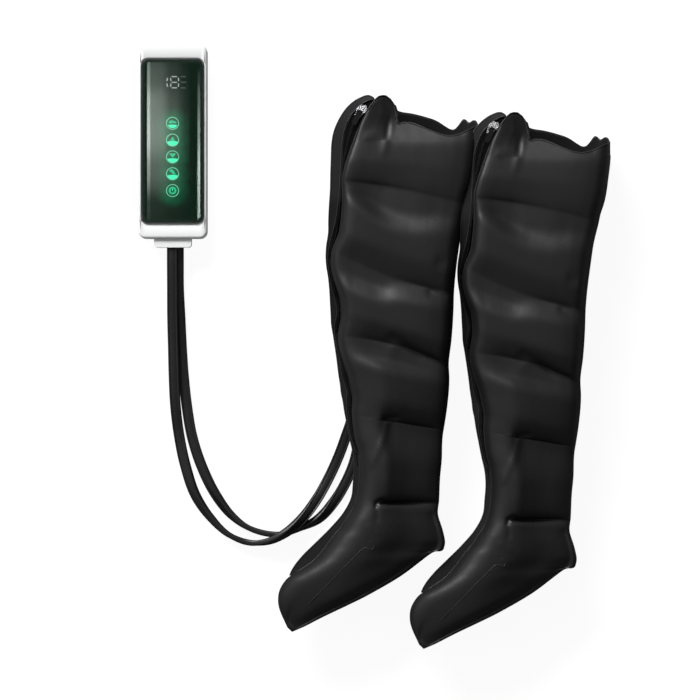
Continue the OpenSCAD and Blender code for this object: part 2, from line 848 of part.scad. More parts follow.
// The thin welded band above the top chamber, open at the zipper
module cuff() {
    color([0.26, 0.26, 0.27])
        loft([for (a = turn_steps) [
            cuff_point(a, 0.02, 1), cuff_point(a, 0.5, 1), cuff_point(a, 1, 1),
            cuff_point(a, 1, 0), cuff_point(a, 0.5, 0), cuff_point(a, 0.02, 0)]]);
}

// Front edge of the leg at every station of every chamber, and the middle of
// the opening a little further in, between the upper and the lower lip
edge_at = [for (k = [0:4], t = weld_steps) if (k == 0 || t > 0) [k, k == 4 && t == 1 ? 0.98 : t]];
function lip_point(e, s) = let (p = leg_plan(e[0], s, e[1])) [p.x, p.y, middle(s, p.y)];
edge_spots = [for (e = edge_at) lip_point(e, 0)];
lip_spots = [for (e = edge_at) lerp(lip_point(e, 0), lip_point(e, wall_share), 0.15)];

// The straight run of the zipper at the mouth, in its own frame
zip_start = [-80.5, mouth_y, mid_z + front_rise];
zip_tilt = 25.3;
zip_len = 51;
slot = 0.8;
// Outline of the upper tape's free side, from its lower end to the mouth
tape_edge = [[-7.5, 0.5], [-12, 12], [-13.5, 26], [-11.5, 40], [-7.5, zip_len]];
tape_in = 9.3;
tape_foot = 4.8;
// The slider's lower end at rest
slider_y = zip_len - slider_l + 4;
module on_zipper() {
    translate(zip_start)
        rotate([0, 0, -zip_tilt])
            children();
}

module zipper_tape() {
    color([0.06, 0.06, 0.06]) {
        loft([for (i = [0:len(edge_spots) - 1]) let (p = edge_spots[i], q = lip_spots[i], h = [0, 0, tape_t / 2]) [
            p - h - [tape_out, 0, 0], p + h - [tape_out, 0, 0], p + h, q + h / 2, q - h / 2, p - h]]);
        on_zipper()
            translate([0, 0, -tape_t / 2])
                linear_extrude(tape_t) {
                    polygon(concat([[-slot, tape_edge[0].y]], tape_edge, [[-slot, zip_len]]));
                    translate([slot, tape_foot])
                        square([tape_in - slot, zip_len - tape_foot]);
                }
    }
}

module zipper_teeth() {
    color([0.04, 0.04, 0.04]) {
        loft([for (p = edge_spots) let (x = p.x - tape_out / 2 - 0.4, z = p.z + tape_t / 2) [
            [x - teeth_w / 2, p.y, z], [x - teeth_w / 2 + 0.6, p.y, z + teeth_h],
            [x + teeth_w / 2 - 0.6, p.y, z + teeth_h], [x + teeth_w / 2, p.y, z]]]);
        on_zipper()
            translate([0, 0, tape_t / 2])
                for (s = [-1, 1])
                    translate([s * (slot + teeth_w / 4), zip_len / 2 + 0.5, teeth_h / 2])
                        cube([teeth_w / 2, zip_len - 1, teeth_h], center = true);
    }
}

// Parts of the slider, from the tape's middle: lower plate, upper plate, bail
low_plate_z = -tape_t / 2 - gap - plate_t;
up_plate_z = tape_t / 2 + teeth_h + gap;
bail_z = up_plate_z + plate_t + 1.9;
pin_r = 0.8;

module slider_plate() {
    polygon([[-slider_w / 2 + 1.5, 0], [slider_w / 2 - 1.5, 0], [slider_w / 2 - 1.5, slider_l * 0.45],
             [slider_w / 2, slider_l * 0.85], [slider_w / 2 - 2, slider_l], [2 - slider_w / 2, slider_l],
             [-slider_w / 2, slider_l * 0.85], [-slider_w / 2 + 1.5, slider_l * 0.45]]);
}

module zip_slider() {
    color("silver")
        on_zipper()
            translate([0, slider_y, 0]) {
                translate([0, 0, low_plate_z])
                    linear_extrude(plate_t)
                        slider_plate();
                translate([0, 0, up_plate_z])
                    linear_extrude(plate_t)
                        slider_plate();
                // post that parts the two rows of teeth
                translate([-slot + gap, slider_l - 5, low_plate_z])
                    cube([2 * (slot - gap), 5, up_plate_z - low_plate_z + plate_t]);
                // ears and pin that carry the pull tab
                for (s = [-1, 1])
                    translate([s * (pull_w / 2 + 0.9), slider_l / 2, up_plate_z + plate_t + 1.4])
                        cube([1.2, 3.4, 3], center = true);
                translate([-pull_w / 2 - 0.6, slider_l / 2, bail_z])
                    rotate([0, 90, 0])
                        cylinder(r = pin_r, h = pull_w + 1.2);
            }
}

module pull_tab() {
    color([0.1, 0.1, 0.1])
        on_zipper()
            translate([0, slider_y + slider_l / 2, bail_z])
                difference() {
                    union() {
                        translate([-pull_w / 2, 0, 0])
                            rotate([0, 90, 0])
                                cylinder(r = 1.5, h = pull_w);
                        translate([-pull_w / 2, 3 - pull_l, -0.8])
                            cube([pull_w, pull_l - 3, 1.6]);
                        translate([0, 3 - pull_l, -0.8])
                            cylinder(r = pull_w / 2 - 0.5, h = 1.6);
                    }
                    translate([-pull_w, 0, 0])
                        rotate([0, 90, 0])
                            cylinder(r = pin_r + run, h = 2 * pull_w);
                }
}

// Outer edge of the flap along the leg, and its bend round the mouth's corner
flap_edge = [[78, -66], [106, -66], [138, -67], [163, -69], [185, -74], [213, -81], [230, -85], [249, -89],
             [282, -93], [315, -97], [340, -101], [369, -104], [398, -105], [427, -108], [450, -110],
             [471, -110], [482, -109], [511, -107], [555, -104], [592, -104]];
bend_at = [-43.5, 637];
bend_r = 59.5;
bend_inner = [[95, 51], [105, 49.5], [120, 47.5], [135, 44.5], [150, 43], [180, 43.5]];

module zip_flap() {
    color([0.14, 0.14, 0.15]) {
        lower = [for (i = [len(edge_spots) - 1:-1:1]) let (p = edge_spots[i])
            [p.x - gap, p.y, min(p.x - gap - 1, lookup(p.y, flap_edge)), p.y]];
        bend = [for (a = [178:-12:94]) let (r = lookup(a, bend_inner))
            [bend_at.x + r * cos(a), bend_at.y + r * sin(a),
             bend_at.x + bend_r * cos(a), bend_at.y + bend_r * sin(a)]];
        loft([for (q = concat(lower, bend))
            let (z = middle(0, min(q[1], mouth_y)) - lip) [
            [q[2], q[3], z - 1], [q[2], q[3], z - flap_t],
            [q[0], q[1], z - flap_t], [q[0], q[1], z]]]);
    }
}

// Elbow under the first weld, where the hose feeds the boot
inlet_at = [-50, 572];
inlet_mouth = 14;
inlet_z = 24.3;
module air_inlet() {
    color([0.08, 0.08, 0.08])
        translate([inlet_at.x, inlet_at.y, 0]) {
            translate([0, 0, inlet_z - 6])
                cylinder(r = 5.5, h = 20);
            translate([0, 0, inlet_z + 13])
                cylinder(r = 7, h = 1.6);
            translate([-inlet_mouth, -10, inlet_z - 6])
                cube([inlet_mouth, 20, 12]);
        }
}

// Everything of one boot by its name without the side
module boot_piece(piece) {
    if (piece == "chamber_1") chamber(0);
    if (piece == "chamber_2") chamber(1);
    if (piece == "chamber_3") chamber(2);
    if (piece == "chamber_4") chamber(3);
    if (piece == "chamber_5") chamber(4);
    if (piece == "foot_chamber") foot_chamber();
    if (piece == "cuff") cuff();
    if (piece == "zipper_tape") zipper_tape();
    if (piece == "zipper_teeth") zipper_teeth();
    if (piece == "zip_slider") zip_slider();
    if (piece == "pull_tab") pull_tab();
    if (piece == "zip_flap") zip_flap();
    if (piece == "air_inlet") air_inlet();
}
boot_pieces = ["chamber_1", "chamber_2", "chamber_3", "chamber_4", "chamber_5", "foot_chamber", "cuff",
               "zipper_tape", "zipper_teeth", "zip_slider", "pull_tab", "zip_flap", "air_inlet"];

back_shell();
front_frame();
glass_panel();
display_board();
digit_display();
touch_lights();
main_board();
charge_port();
battery_cells();
battery_tray();
pump_motor();
pump_rotor();
pump_case();
pump_diaphragm();
pump_head();
pump_tube();
valve_block();
valve_coils();
valve_plunger(0);  // valve_plunger_1
valve_plunger(1);  // valve_plunger_2
valve_plunger(2);  // valve_plunger_3
valve_plunger(3);  // valve_plunger_4
valve_tubes();
hose_socket();
socket_seal();
housing_screws();
hose_plug();
hose_left();
hose_right();
for (piece = boot_pieces) {
    translate(left_pos) boot_piece(piece);
    translate(right_pos) boot_piece(piece);
}
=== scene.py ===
import math

import bmesh
import bpy
import numpy as np
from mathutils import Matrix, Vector


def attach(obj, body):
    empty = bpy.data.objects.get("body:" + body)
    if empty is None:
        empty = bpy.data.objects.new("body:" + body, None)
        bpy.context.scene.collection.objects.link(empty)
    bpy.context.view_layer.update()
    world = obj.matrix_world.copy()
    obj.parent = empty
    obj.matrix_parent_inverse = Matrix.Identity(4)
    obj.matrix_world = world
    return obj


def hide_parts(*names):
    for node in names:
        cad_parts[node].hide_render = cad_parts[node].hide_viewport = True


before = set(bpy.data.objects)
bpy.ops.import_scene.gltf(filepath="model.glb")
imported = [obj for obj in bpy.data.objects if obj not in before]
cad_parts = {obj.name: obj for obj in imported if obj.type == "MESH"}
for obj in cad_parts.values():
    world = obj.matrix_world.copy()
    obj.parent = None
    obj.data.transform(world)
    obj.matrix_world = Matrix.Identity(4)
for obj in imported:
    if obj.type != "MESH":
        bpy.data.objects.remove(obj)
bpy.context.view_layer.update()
MM = 0.001


# Studio. The set lies on a white floor and is looked at from straight above
# with a long lens. One large soft lamp stands beyond the mouths of the boots and
# a weak one at the left, and a sky that is brighter on one side fills in the rest.
scene = bpy.context.scene
scene.view_settings.view_transform = "Standard"
lens_mm, sensor_mm = 200, 36
picture_width = 1.05
look_at_height = 0.035
camera_data = bpy.data.cameras.new("camera")
camera_data.lens, camera_data.sensor_width = lens_mm, sensor_mm
camera_data.clip_start, camera_data.clip_end = 0.5, 40
camera = bpy.data.objects.new("camera", camera_data)
scene.collection.objects.link(camera)
camera.location = (-0.036, -0.00525, look_at_height + picture_width * lens_mm / sensor_mm)
scene.camera = camera


def node_material(name):
    """A material with an empty Principled shader, and its node tree."""
    material = bpy.data.materials.new(name)
    material.use_nodes = True
    tree = material.node_tree
    return material, tree, tree.nodes["Principled BSDF"]


def feed(tree, node, inputs):
    """Sets a node's inputs: an output is linked to them, anything else is their value."""
    for key, value in inputs.items():
        if isinstance(value, bpy.types.NodeSocket):
            tree.links.new(value, node.inputs[key])
        else:
            node.inputs[key].default_value = value


def add_node(tree, kind, inputs=(), **settings):
    """A new node with its settings and inputs."""
    node = tree.nodes.new(kind)
    for key, value in settings.items():
        setattr(node, key, value)
    feed(tree, node, dict(inputs))
    return node


def reckon(tree, operation, *values):
    """The result of one sum on levels."""
    return add_node(tree, "ShaderNodeMath", dict(enumerate(values)), operation=operation).outputs[0]


def ranged(tree, value, to_low, to_high, low=0.0, high=1.0, **settings):
    """A value from low to high, stretched to run from to_low to to_high."""
    return add_node(tree, "ShaderNodeMapRange", {
        "Value": value, "From Min": low, "From Max": high, "To Min": to_low, "To Max": to_high,
    }, **settings).outputs["Result"]


floor_seen, floor_bounce = 0.93, 0.7
floor_material, tree, floor_shader = node_material("white_floor")
ray = add_node(tree, "ShaderNodeLightPath")
bounce = reckon(tree, "MULTIPLY", ray.outputs["Is Diffuse Ray"], floor_bounce)
feed(tree, floor_shader, {
    "Base Color": (0.15, 0.15, 0.15, 1), "Roughness": 0.9, "Specular IOR Level": 0.0,
    "Emission Strength": reckon(tree, "MULTIPLY_ADD", ray.outputs["Is Camera Ray"], floor_seen, bounce),
    "Emission Color": (1, 1, 1, 1)})
floor_mesh = bpy.data.meshes.new("floor")
floor_mesh.from_pydata([(-6, -6, 0), (6, -6, 0), (6, 6, 0), (-6, 6, 0)], [], [(0, 1, 2, 3)])
floor = bpy.data.objects.new("floor", floor_mesh)
floor_mesh.materials.append(floor_material)
scene.collection.objects.link(floor)


def area_light(name, place, aim, size, power):
    """A soft white lamp: its place, the point it looks at, width and height, and watts."""
    light = bpy.data.lights.new(name, "AREA")
    light.shape, light.size, light.size_y = "RECTANGLE", size[0], size[1]
    light.energy = power
    holder = bpy.data.objects.new(name, light)
    scene.collection.objects.link(holder)
    holder.location = place
    holder.rotation_euler = (Vector(aim) - Vector(place)).to_track_quat("-Z", "Y").to_euler()


area_light("key_beyond_mouths", (-1.5, 2.85, 2.1), (0.05, 0.05, 0.05), (2.7, 1.0), 215)
area_light("side_left", (-3.0, -0.2, 1.5), (0.05, 0, 0.05), (1.0, 1.6), 4)
world = bpy.data.worlds.new("sky")
scene.world = world
world.use_nodes = True
sky_tree = world.node_tree
sky_brightest_way = (-0.42, 0.2, 0.885)
toward = add_node(sky_tree, "ShaderNodeVectorMath", {
    0: add_node(sky_tree, "ShaderNodeTexCoord").outputs["Generated"], 1: sky_brightest_way},
    operation="DOT_PRODUCT")
feed(sky_tree, sky_tree.nodes["Background"], {
    "Color": (1, 1, 1, 1), "Strength": ranged(sky_tree, toward.outputs["Value"], 0.06, 0.31, 0.1, 0.9)})


# Controller housing. The hand unit has a white glossy back shell and a front
# frame of the same plastic. Both are injection moulded, with rounded edges, and
# meet at a fine parting line; the frame carries a bright bevel round the glass.
ctrl_x, ctrl_y = -302 * MM, 307.5 * MM
ctrl_w, ctrl_l, ctrl_r = 103 * MM, 291 * MM, 11 * MM
back_h, frame_h, shell_t, edge_r = 32 * MM, 9 * MM, 2.5 * MM, 4 * MM
glass_w, glass_l, glass_r = 97 * MM, 250 * MM, 13 * MM
frame_top = back_h + frame_h
seat_z = frame_top - 5 * MM
plug_z, nose_w, nose_h = 22 * MM, 44 * MM, 17 * MM
lead_w, lead_low, lead_high = 9.6 * MM, 9.3 * MM, 13.1 * MM
fit_gap, mouth_depth, clear = 0.3 * MM, 6 * MM, 10 * MM


def piece_from(name, points, faces, material, smooth=True):
    """A linked mesh object at the origin with one material."""
    mesh = bpy.data.meshes.new(name)
    mesh.from_pydata([tuple(p) for p in points], [], [tuple(f) for f in faces])
    mesh.materials.append(material)
    if smooth:
        mesh.polygons.foreach_set("use_smooth", [True] * len(mesh.polygons))
    mesh.update()
    piece = bpy.data.objects.new(name, mesh)
    scene.collection.objects.link(piece)
    return piece


def corner_ring(width, length, radius, height, steps=12):
    """Points round the controller's middle, on a rectangle with rounded corners."""
    ring = []
    for sx, sy, start in ((1, 1, 0), (-1, 1, 90), (-1, -1, 180), (1, -1, 270)):
        for step in range(steps + 1):
            turn = math.radians(start + 90 * step / steps)
            ring.append((ctrl_x + sx * (width / 2 - radius) + radius * math.cos(turn),
                         ctrl_y + sy * (length / 2 - radius) + radius * math.sin(turn), height))
    return ring


def wall_ring(inset, height):
    """The housing's own outline, drawn in by an inset."""
    return corner_ring(ctrl_w - 2 * inset, ctrl_l - 2 * inset, ctrl_r - inset, height)


def glass_ring(gap, height):
    """The glass's outline in the frame, with a gap round it."""
    return corner_ring(glass_w + gap, glass_l + gap, glass_r, height)


def skin_of(rings, close_first=True, close_last=True):
    """Faces over rings of the same count; first is the lowest one outside."""
    count = len(rings[0])
    points = [p for ring in rings for p in ring]
    faces = []
    for i in range(len(rings) - 1):
        for j in range(count):
            k = (j + 1) % count
            faces.append((i * count + j, i * count + k, (i + 1) * count + k, (i + 1) * count + j))
    if close_first:
        faces.append(tuple(reversed(range(count))))
    if close_last:
        faces.append(tuple(range((len(rings) - 1) * count, len(rings) * count)))
    return np.array(points), faces


def quarter(radius, rising=True, steps=8):
    """Inset and height pairs over a rounded edge."""
    turns = [math.pi / 2 * i / steps for i in range(steps + 1)]
    pairs = [(radius * (1 - math.sin(t)), radius * (1 - math.cos(t))) for t in turns]
    return pairs if rising else [(inset, radius - rise) for inset, rise in reversed(pairs)]


def apply_modifiers(piece):
    """Turns the piece with its modifiers into a plain mesh."""
    evaluated = piece.evaluated_get(bpy.context.evaluated_depsgraph_get())
    mesh = bpy.data.meshes.new_from_object(evaluated)
    piece.modifiers.clear()
    old = piece.data
    piece.data = mesh
    bpy.data.meshes.remove(old)


def carve(piece, cutters):
    """Cuts closed blocks out of a closed piece."""
    for cutter in cutters:
        cut = piece.modifiers.new("cut", "BOOLEAN")
        cut.operation, cut.solver, cut.object = "DIFFERENCE", "EXACT", cutter
    apply_modifiers(piece)
    for cutter in cutters:
        bpy.data.objects.remove(cutter)


def block(name, low, high, material):
    """A plain closed block, used as a cutter."""
    points = [(x, y, z) for z in (low[2], high[2]) for x, y in
              ((low[0], low[1]), (high[0], low[1]), (high[0], high[1]), (low[0], high[1]))]
    faces = [(3, 2, 1, 0), (4, 5, 6, 7), (0, 1, 5, 4), (1, 2, 6, 5), (2, 3, 7, 6), (3, 0, 4, 7)]
    return piece_from(name, points, faces, material, smooth=False)


def shade_by_angle(piece, degrees=35):
    """Smooth shading with hard edges where faces meet at more than an angle."""
    mesh = piece.data
    mesh.polygons.foreach_set("use_smooth", [True] * len(mesh.polygons))
    sharp = bmesh.new()
    sharp.from_mesh(mesh)
    for edge in sharp.edges:
        if len(edge.link_faces) == 2:
            edge.smooth = edge.calc_face_angle(0) < math.radians(degrees)
    sharp.to_mesh(mesh)
    sharp.free()


def noise(tree, place, scale, detail, roughness=0.5):
    """The level of a cloudy noise at each place."""
    return add_node(tree, "ShaderNodeTexNoise", {
        "Vector": place, "Scale": scale, "Detail": detail, "Roughness": roughness}).outputs["Fac"]


def between(tree, factor, colour, other):
    """A colour that drifts between two."""
    return add_node(tree, "ShaderNodeMix", {
        "Factor": factor, "A": (*colour, 1), "B": (*other, 1)}, data_type="RGBA").outputs["Result"]


def raised(tree, height, strength, distance, **under):
    """The normals of a surface that a height raises."""
    return add_node(tree, "ShaderNodeBump", {
        "Height": height, "Strength": strength, "Distance": distance, **under}).outputs["Normal"]


def plastic(name, colour, rough, bump=0.05, coat=0.0, tint=0.04, specular=0.5):
    """Moulded plastic: faint mottling and a fine orange-peel surface."""
    material, tree, shader = node_material(name)
    place = add_node(tree, "ShaderNodeTexCoord").outputs["Object"]
    feed(tree, shader, {
        "Base Color": between(tree, noise(tree, place, 14.0, 3.0), [c * (1 - tint) for c in colour],
                              [min(1, c * (1 + tint)) for c in colour]),
        "Normal": raised(tree, noise(tree, place, 900.0, 2.0), bump, 0.0002),
        "Roughness": rough, "Specular IOR Level": specular, "Coat Weight": coat, "Coat Roughness": 0.08})
    return material


white_plastic = plastic("glossy_white_plastic", (0.79, 0.8, 0.8), 0.32, coat=0.3, tint=0.01, bump=0.02)
shell_rings = [wall_ring(inset, rise) for inset, rise in quarter(edge_r)]
shell_rings += [wall_ring(0, back_h - 0.5 * MM), wall_ring(0.4 * MM, back_h),
                wall_ring(shell_t, back_h), wall_ring(shell_t, shell_t)]
back_shell = piece_from("controller_back_shell", *skin_of(shell_rings), white_plastic)
low_end, high_end = ctrl_y - ctrl_l / 2, ctrl_y + ctrl_l / 2
plug_half_w, plug_half_h = nose_w / 2 + fit_gap, nose_h / 2 + fit_gap
carve(back_shell, [
    block("plug_mouth", (ctrl_x - plug_half_w, low_end - clear, plug_z - plug_half_h),
          (ctrl_x + plug_half_w, low_end + mouth_depth, plug_z + plug_half_h), white_plastic),
    block("lead_mouth", (ctrl_x - lead_w / 2, high_end - mouth_depth, lead_low),
          (ctrl_x + lead_w / 2, high_end + clear, lead_high), white_plastic)])
shade_by_angle(back_shell)
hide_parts("back_shell")
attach(back_shell, "controller")

frame_rings = [wall_ring(0.4 * MM, back_h), wall_ring(0, back_h + 0.5 * MM)]
frame_rings += [wall_ring(inset, frame_top - edge_r + rise) for inset, rise in quarter(edge_r, rising=False)]
frame_rings += [corner_ring(glass_w + 2.4 * MM, glass_l + 2.4 * MM, glass_r + 1.2 * MM, frame_top),
                glass_ring(0.7 * MM, frame_top - 0.5 * MM), glass_ring(0.6 * MM, seat_z)]
frame_rings += [corner_ring(glass_w - 9 * MM, glass_l - 9 * MM, 8 * MM, height)
                for height in (seat_z, back_h)]
points, faces = skin_of(frame_rings, close_first=False, close_last=False)
last, count = len(frame_rings) - 1, len(frame_rings[0])
faces += [(last * count + j, last * count + (j + 1) % count, (j + 1) % count, j) for j in range(count)]
front_frame = piece_from("controller_front_frame", points, faces, white_plastic)
shade_by_angle(front_frame)
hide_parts("front_frame")
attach(front_frame, "controller")


# Inside of the controller: board, cells, pump, valves, tubes, socket and
# screws. These keep their CAD solids and get their own finishes: green board,
# wrapped cells, turned brass, steel, lacquered wire and milky tube.
def metal(name, colour, rough, stretch=(1, 1, 1)):
    """Worked metal: brushed along one way, with uneven roughness."""
    material, tree, shader = node_material(name)
    along = add_node(tree, "ShaderNodeMapping", {
        "Vector": add_node(tree, "ShaderNodeTexCoord").outputs["Object"], "Scale": stretch})
    lines = noise(tree, along.outputs["Vector"], 600.0, 4.0)
    feed(tree, shader, {
        "Base Color": between(tree, lines, [c * 0.92 for c in colour], colour),
        "Roughness": ranged(tree, lines, rough * 0.7, rough * 1.4),
        "Normal": raised(tree, lines, 0.08, 0.0001), "Metallic": 1.0})
    return material


green_board = plastic("green_circuit_board", (0.02, 0.13, 0.06), 0.35, tint=0.2)
steel = metal("bright_steel", (0.62, 0.63, 0.65), 0.25, (1, 0.05, 1))
brass = metal("turned_brass", (0.7, 0.5, 0.22), 0.22, (1, 0.05, 1))
cell_wrap = plastic("blue_cell_wrap", (0.03, 0.12, 0.35), 0.25, tint=0.05)
grey_plastic = plastic("matt_grey_plastic", (0.09, 0.1, 0.11), 0.55, tint=0.1)
orange_rubber = plastic("orange_rubber", (0.6, 0.13, 0.02), 0.6, tint=0.1)
milky_tube = plastic("milky_tube", (0.7, 0.72, 0.72), 0.3, tint=0.02)
coil_wire = metal("lacquered_coil_wire", (0.5, 0.16, 0.08), 0.3, (0.05, 0.05, 1))
seal_rubber = plastic("satin_black_rubber", (0.012, 0.012, 0.012), 0.45, tint=0.15, bump=0.15)
inner_finishes = [
    (green_board, ["main_board"]), (cell_wrap, ["battery_cells"]), (brass, ["pump_rotor"]),
    (steel, ["charge_port", "pump_motor", "housing_screws", *(f"valve_plunger_{k}" for k in range(1, 5))]),
    (grey_plastic, ["battery_tray", "pump_case", "pump_head", "valve_block", "hose_socket"]),
    (orange_rubber, ["pump_diaphragm"]), (milky_tube, ["pump_tube", "valve_tubes"]),
    (coil_wire, ["valve_coils"]), (seal_rubber, ["socket_seal"])]


def dress(node_name, material):
    """Gives a CAD node its finish."""
    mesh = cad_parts[node_name].data
    mesh.materials.clear()
    mesh.materials.append(material)


for material, node_names in inner_finishes:
    for node_name in node_names:
        dress(node_name, material)


# Display. Behind the glass lie pale lit segments that read 18, three dim bars
# beside them, and five touch signs: a ring round a simple picture, lit green.
# They are cut from thin diffuser sheet and stand on the dark display board.
light_low, light_top = seat_z + 1.8 * MM, seat_z + 4.5 * MM
icon_y, icon_pitch = 27.0, 25.2


def lit(name, colour, strength):
    """Lit diffuser sheet with a slightly uneven level from place to place."""
    material, tree, shader = node_material(name)
    cloud = noise(tree, add_node(tree, "ShaderNodeTexCoord").outputs["Object"], 200.0, 1.0)
    feed(tree, shader, {
        "Emission Strength": ranged(tree, cloud, strength * 0.7, strength * 1.3),
        "Emission Color": (*colour, 1), "Base Color": (*(c * 0.1 for c in colour), 1), "Roughness": 0.6})
    return material


def cut_sheet(name, outlines, material):
    """Flat cut shapes, each a list of points in millimetres from the controller's middle."""
    points, faces = [], []
    for outline in outlines:
        x, y = np.array(outline, float).T
        if np.sum(x * np.roll(y, -1) - y * np.roll(x, -1)) <= 0:
            x, y = x[::-1], y[::-1]
        low, count = len(points), len(x)
        top = low + count
        for z in (light_low, light_top):
            points += [(ctrl_x + px * MM, ctrl_y + py * MM, z) for px, py in zip(x, y)]
        faces += [tuple(reversed(range(low, top))), tuple(range(top, top + count))]
        for j in range(count):
            k = (j + 1) % count
            faces.append((low + j, low + k, top + k, top + j))
    piece = piece_from(name, points, faces, material, smooth=False)
    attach(piece, "controller")
    return piece


def bar(x0, y0, x1, y1, width=1.4):
    """A lit segment: a narrow bar with pointed ends."""
    start, end = np.array([x0, y0]), np.array([x1, y1])
    along = (end - start) / np.linalg.norm(end - start)
    side = np.array([-along[1], along[0]]) * width / 2
    tip = along * width / 2
    return [start, start + tip + side, end - tip + side, end, end - tip - side, start + tip - side]


def ring_band(radius, width, steps=48):
    """A ring as quads, so that it needs no hole."""
    turns = np.radians(np.linspace(0, 360, steps + 1))
    return [[(r * math.cos(t), r * math.sin(t)) for r, t in
             ((radius, t0), (radius, t1), (radius - width, t1), (radius - width, t0))]
            for t0, t1 in zip(turns[:-1], turns[1:])]


def bowl(level, radius=8.3, dip=0.9):
    """The part of a disc below a level, with a softly arched top edge."""
    reach = math.sqrt(radius**2 - level**2)
    start = math.atan2(level, -reach) % (2 * math.pi)
    end = math.atan2(level, reach) % (2 * math.pi)
    rim = [(radius * math.cos(t), radius * math.sin(t)) for t in np.linspace(start, end, 24)]
    top = [(x, level + dip * math.cos(x / reach * math.pi / 2)) for x in np.linspace(reach, -reach, 14)[1:-1]]
    return rim + top


def moved_up(outlines, rise):
    """The same outlines, further up the glass."""
    return [[(x, y + rise) for x, y in outline] for outline in outlines]


digits = [
    bar(-8.6, 90, -7.4, 95.4), bar(-8.6, 87.2, -7.4, 81.6),
    bar(-2.2, 90, -3, 95.4), bar(-2.2, 87.2, -3, 81.6), bar(9.2, 90, 8.7, 95.6), bar(9.2, 87.2, 8.7, 81.4),
    bar(-1.6, 97, 6.9, 97), bar(-1.4, 88.5, 6.9, 88.5), bar(-1.6, 80.2, 6.9, 80.2)]
small_bars = [bar(12, 80.2 + 8.4 * k, 20 + k % 2, 80.2 + 8.4 * k, 1.6) for k in range(3)]
cut_sheet("lit_digits", digits, lit("pale_digit_light", (0.62, 0.7, 0.67), 1.5))
digit_bars = cut_sheet("dim_bars", small_bars, lit("dim_bar_light", (0.4, 0.6, 0.55), 0.22))
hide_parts("digit_display")
# Each sign's picture, and the part below or inside it that is lit more
signs = [
    ([[(-5.4, 2.4), (-3.6, 3.9), (-1.2, 4.4), (2.6, 3.6), (5.2, 2.2), (6.6, 0.9), (3.8, 0), (0, 0.5),
       (-2.6, -0.4), (-5.6, 0.4)]], bowl(-2.6, 7.3, 0.5)),
    ([[(0.3, 5.6), (2.2, 1.6), (4.2, -1.6), (-4.2, -1.6), (-2.2, 1.6)]], bowl(-2.4)),
    ([[(-4.8, 5.2), (4.6, 5.2), (4.0, 3.4), (0.6, -0.8), (-0.4, -0.8), (-4.0, 3.4)]], bowl(-3)),
    ([[(-4.8, 5.0), (-2.6, 6.8), (-0.4, 6.4), (1.8, 4.4), (3.4, 1.4), (4.8, -0.8), (1.2, -0.9), (-2.2, 2.0),
       (-4.2, 3.6)]], bowl(-2.6)),
    (ring_band(5.7, 2.7), bar(0, -0.2, 0, 2.6, 1.3))]
bright_outlines, picture_outlines, ring_outlines = [], [], []
for k, (pictures, bright_part) in enumerate(signs):
    rise = icon_y - k * icon_pitch
    picture_outlines += moved_up(pictures, rise)
    bright_outlines += moved_up([bright_part], rise)
    ring_outlines += moved_up(ring_band(9.6, 1.0), rise)
bright_green = lit("mint_green_light", (0.035, 0.8, 0.4), 2.7)
soft_green = lit("soft_green_light", (0.02, 0.7, 0.33), 1.5)
ring_green = lit("pale_green_light", (0.17, 0.6, 0.38), 2.3)
sign_lights = cut_sheet("lit_signs", bright_outlines, bright_green)
cut_sheet("lit_pictures", picture_outlines, soft_green)
cut_sheet("lit_rings", ring_outlines, ring_green)
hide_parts("touch_lights")


# Display board. The circuit board behind the glass has a matt black face. Round
# each sign a painted green glow, emission in the board's own material, stands in
# for the light that spills from the sign; it fades out over a few centimetres.
painted_glow_from, painted_glow_to = 5 * MM, 32 * MM
painted_glow_board, tree, board_shader = node_material("black_board_with_painted_green_glow")
place = add_node(tree, "ShaderNodeTexCoord").outputs["Object"]
painted_glow = 0.0
for k in range(len(signs)):
    sign_at = (ctrl_x, ctrl_y + (icon_y - k * icon_pitch) * MM, seat_z + 1.75 * MM)
    gap = add_node(tree, "ShaderNodeVectorMath", {0: place, 1: sign_at}, operation="DISTANCE")
    near = ranged(tree, gap.outputs["Value"], 1.0, 0.0, painted_glow_from, painted_glow_to, interpolation_type="SMOOTHERSTEP")
    painted_glow = reckon(tree, "MAXIMUM", painted_glow, near)
patchy_painted_glow = reckon(tree, "MULTIPLY", painted_glow, noise(tree, place, 90.0, 3.0))
# Painted glow: the board emits a faint green all over, and more round each sign, in place of the signs' light
# falling on it
feed(tree, board_shader, {
    "Base Color": (0.0005, 0.004, 0.002, 1), "Specular IOR Level": 0.0, "Roughness": 0.7,
    "Emission Strength": reckon(tree, "MULTIPLY_ADD", patchy_painted_glow, 0.55, 0.035),
    "Emission Color": (0.01, 0.6, 0.24, 1)})
dress("display_board", painted_glow_board)


# Glass front. One dark tinted pane with a long rounded edge, glued into the
# frame's seat. A wide dark card with two bright slits, one fading softly to
# grey, hangs high over the set, and the pane mirrors it.
glass_material, tree, glass_shader = node_material("dark_tinted_glass")
feed(tree, glass_shader, {
    "Base Color": (0.5, 0.5, 0.5, 1), "Transmission Weight": 1.0, "Roughness": 0.006, "IOR": 1.52})
dress("glass_panel", glass_material)

card_low, card_high, card_z = (-1.5, -0.2), (0.2, 1.7), 6.6
card_mesh = bpy.data.meshes.new("mirror_card")
card_mesh.from_pydata([(card_low[0], card_low[1], card_z), (card_high[0], card_low[1], card_z),
                       (card_high[0], card_high[1], card_z), (card_low[0], card_high[1], card_z)],
                      [], [(3, 2, 1, 0)])
card = bpy.data.objects.new("mirror_card", card_mesh)
scene.collection.objects.link(card)
card_material = bpy.data.materials.new("card_with_slits")
card_material.use_nodes = True
tree = card_material.node_tree
tree.nodes.clear()
axes = add_node(tree, "ShaderNodeSeparateXYZ", {
    "Vector": add_node(tree, "ShaderNodeTexCoord").outputs["Object"]})


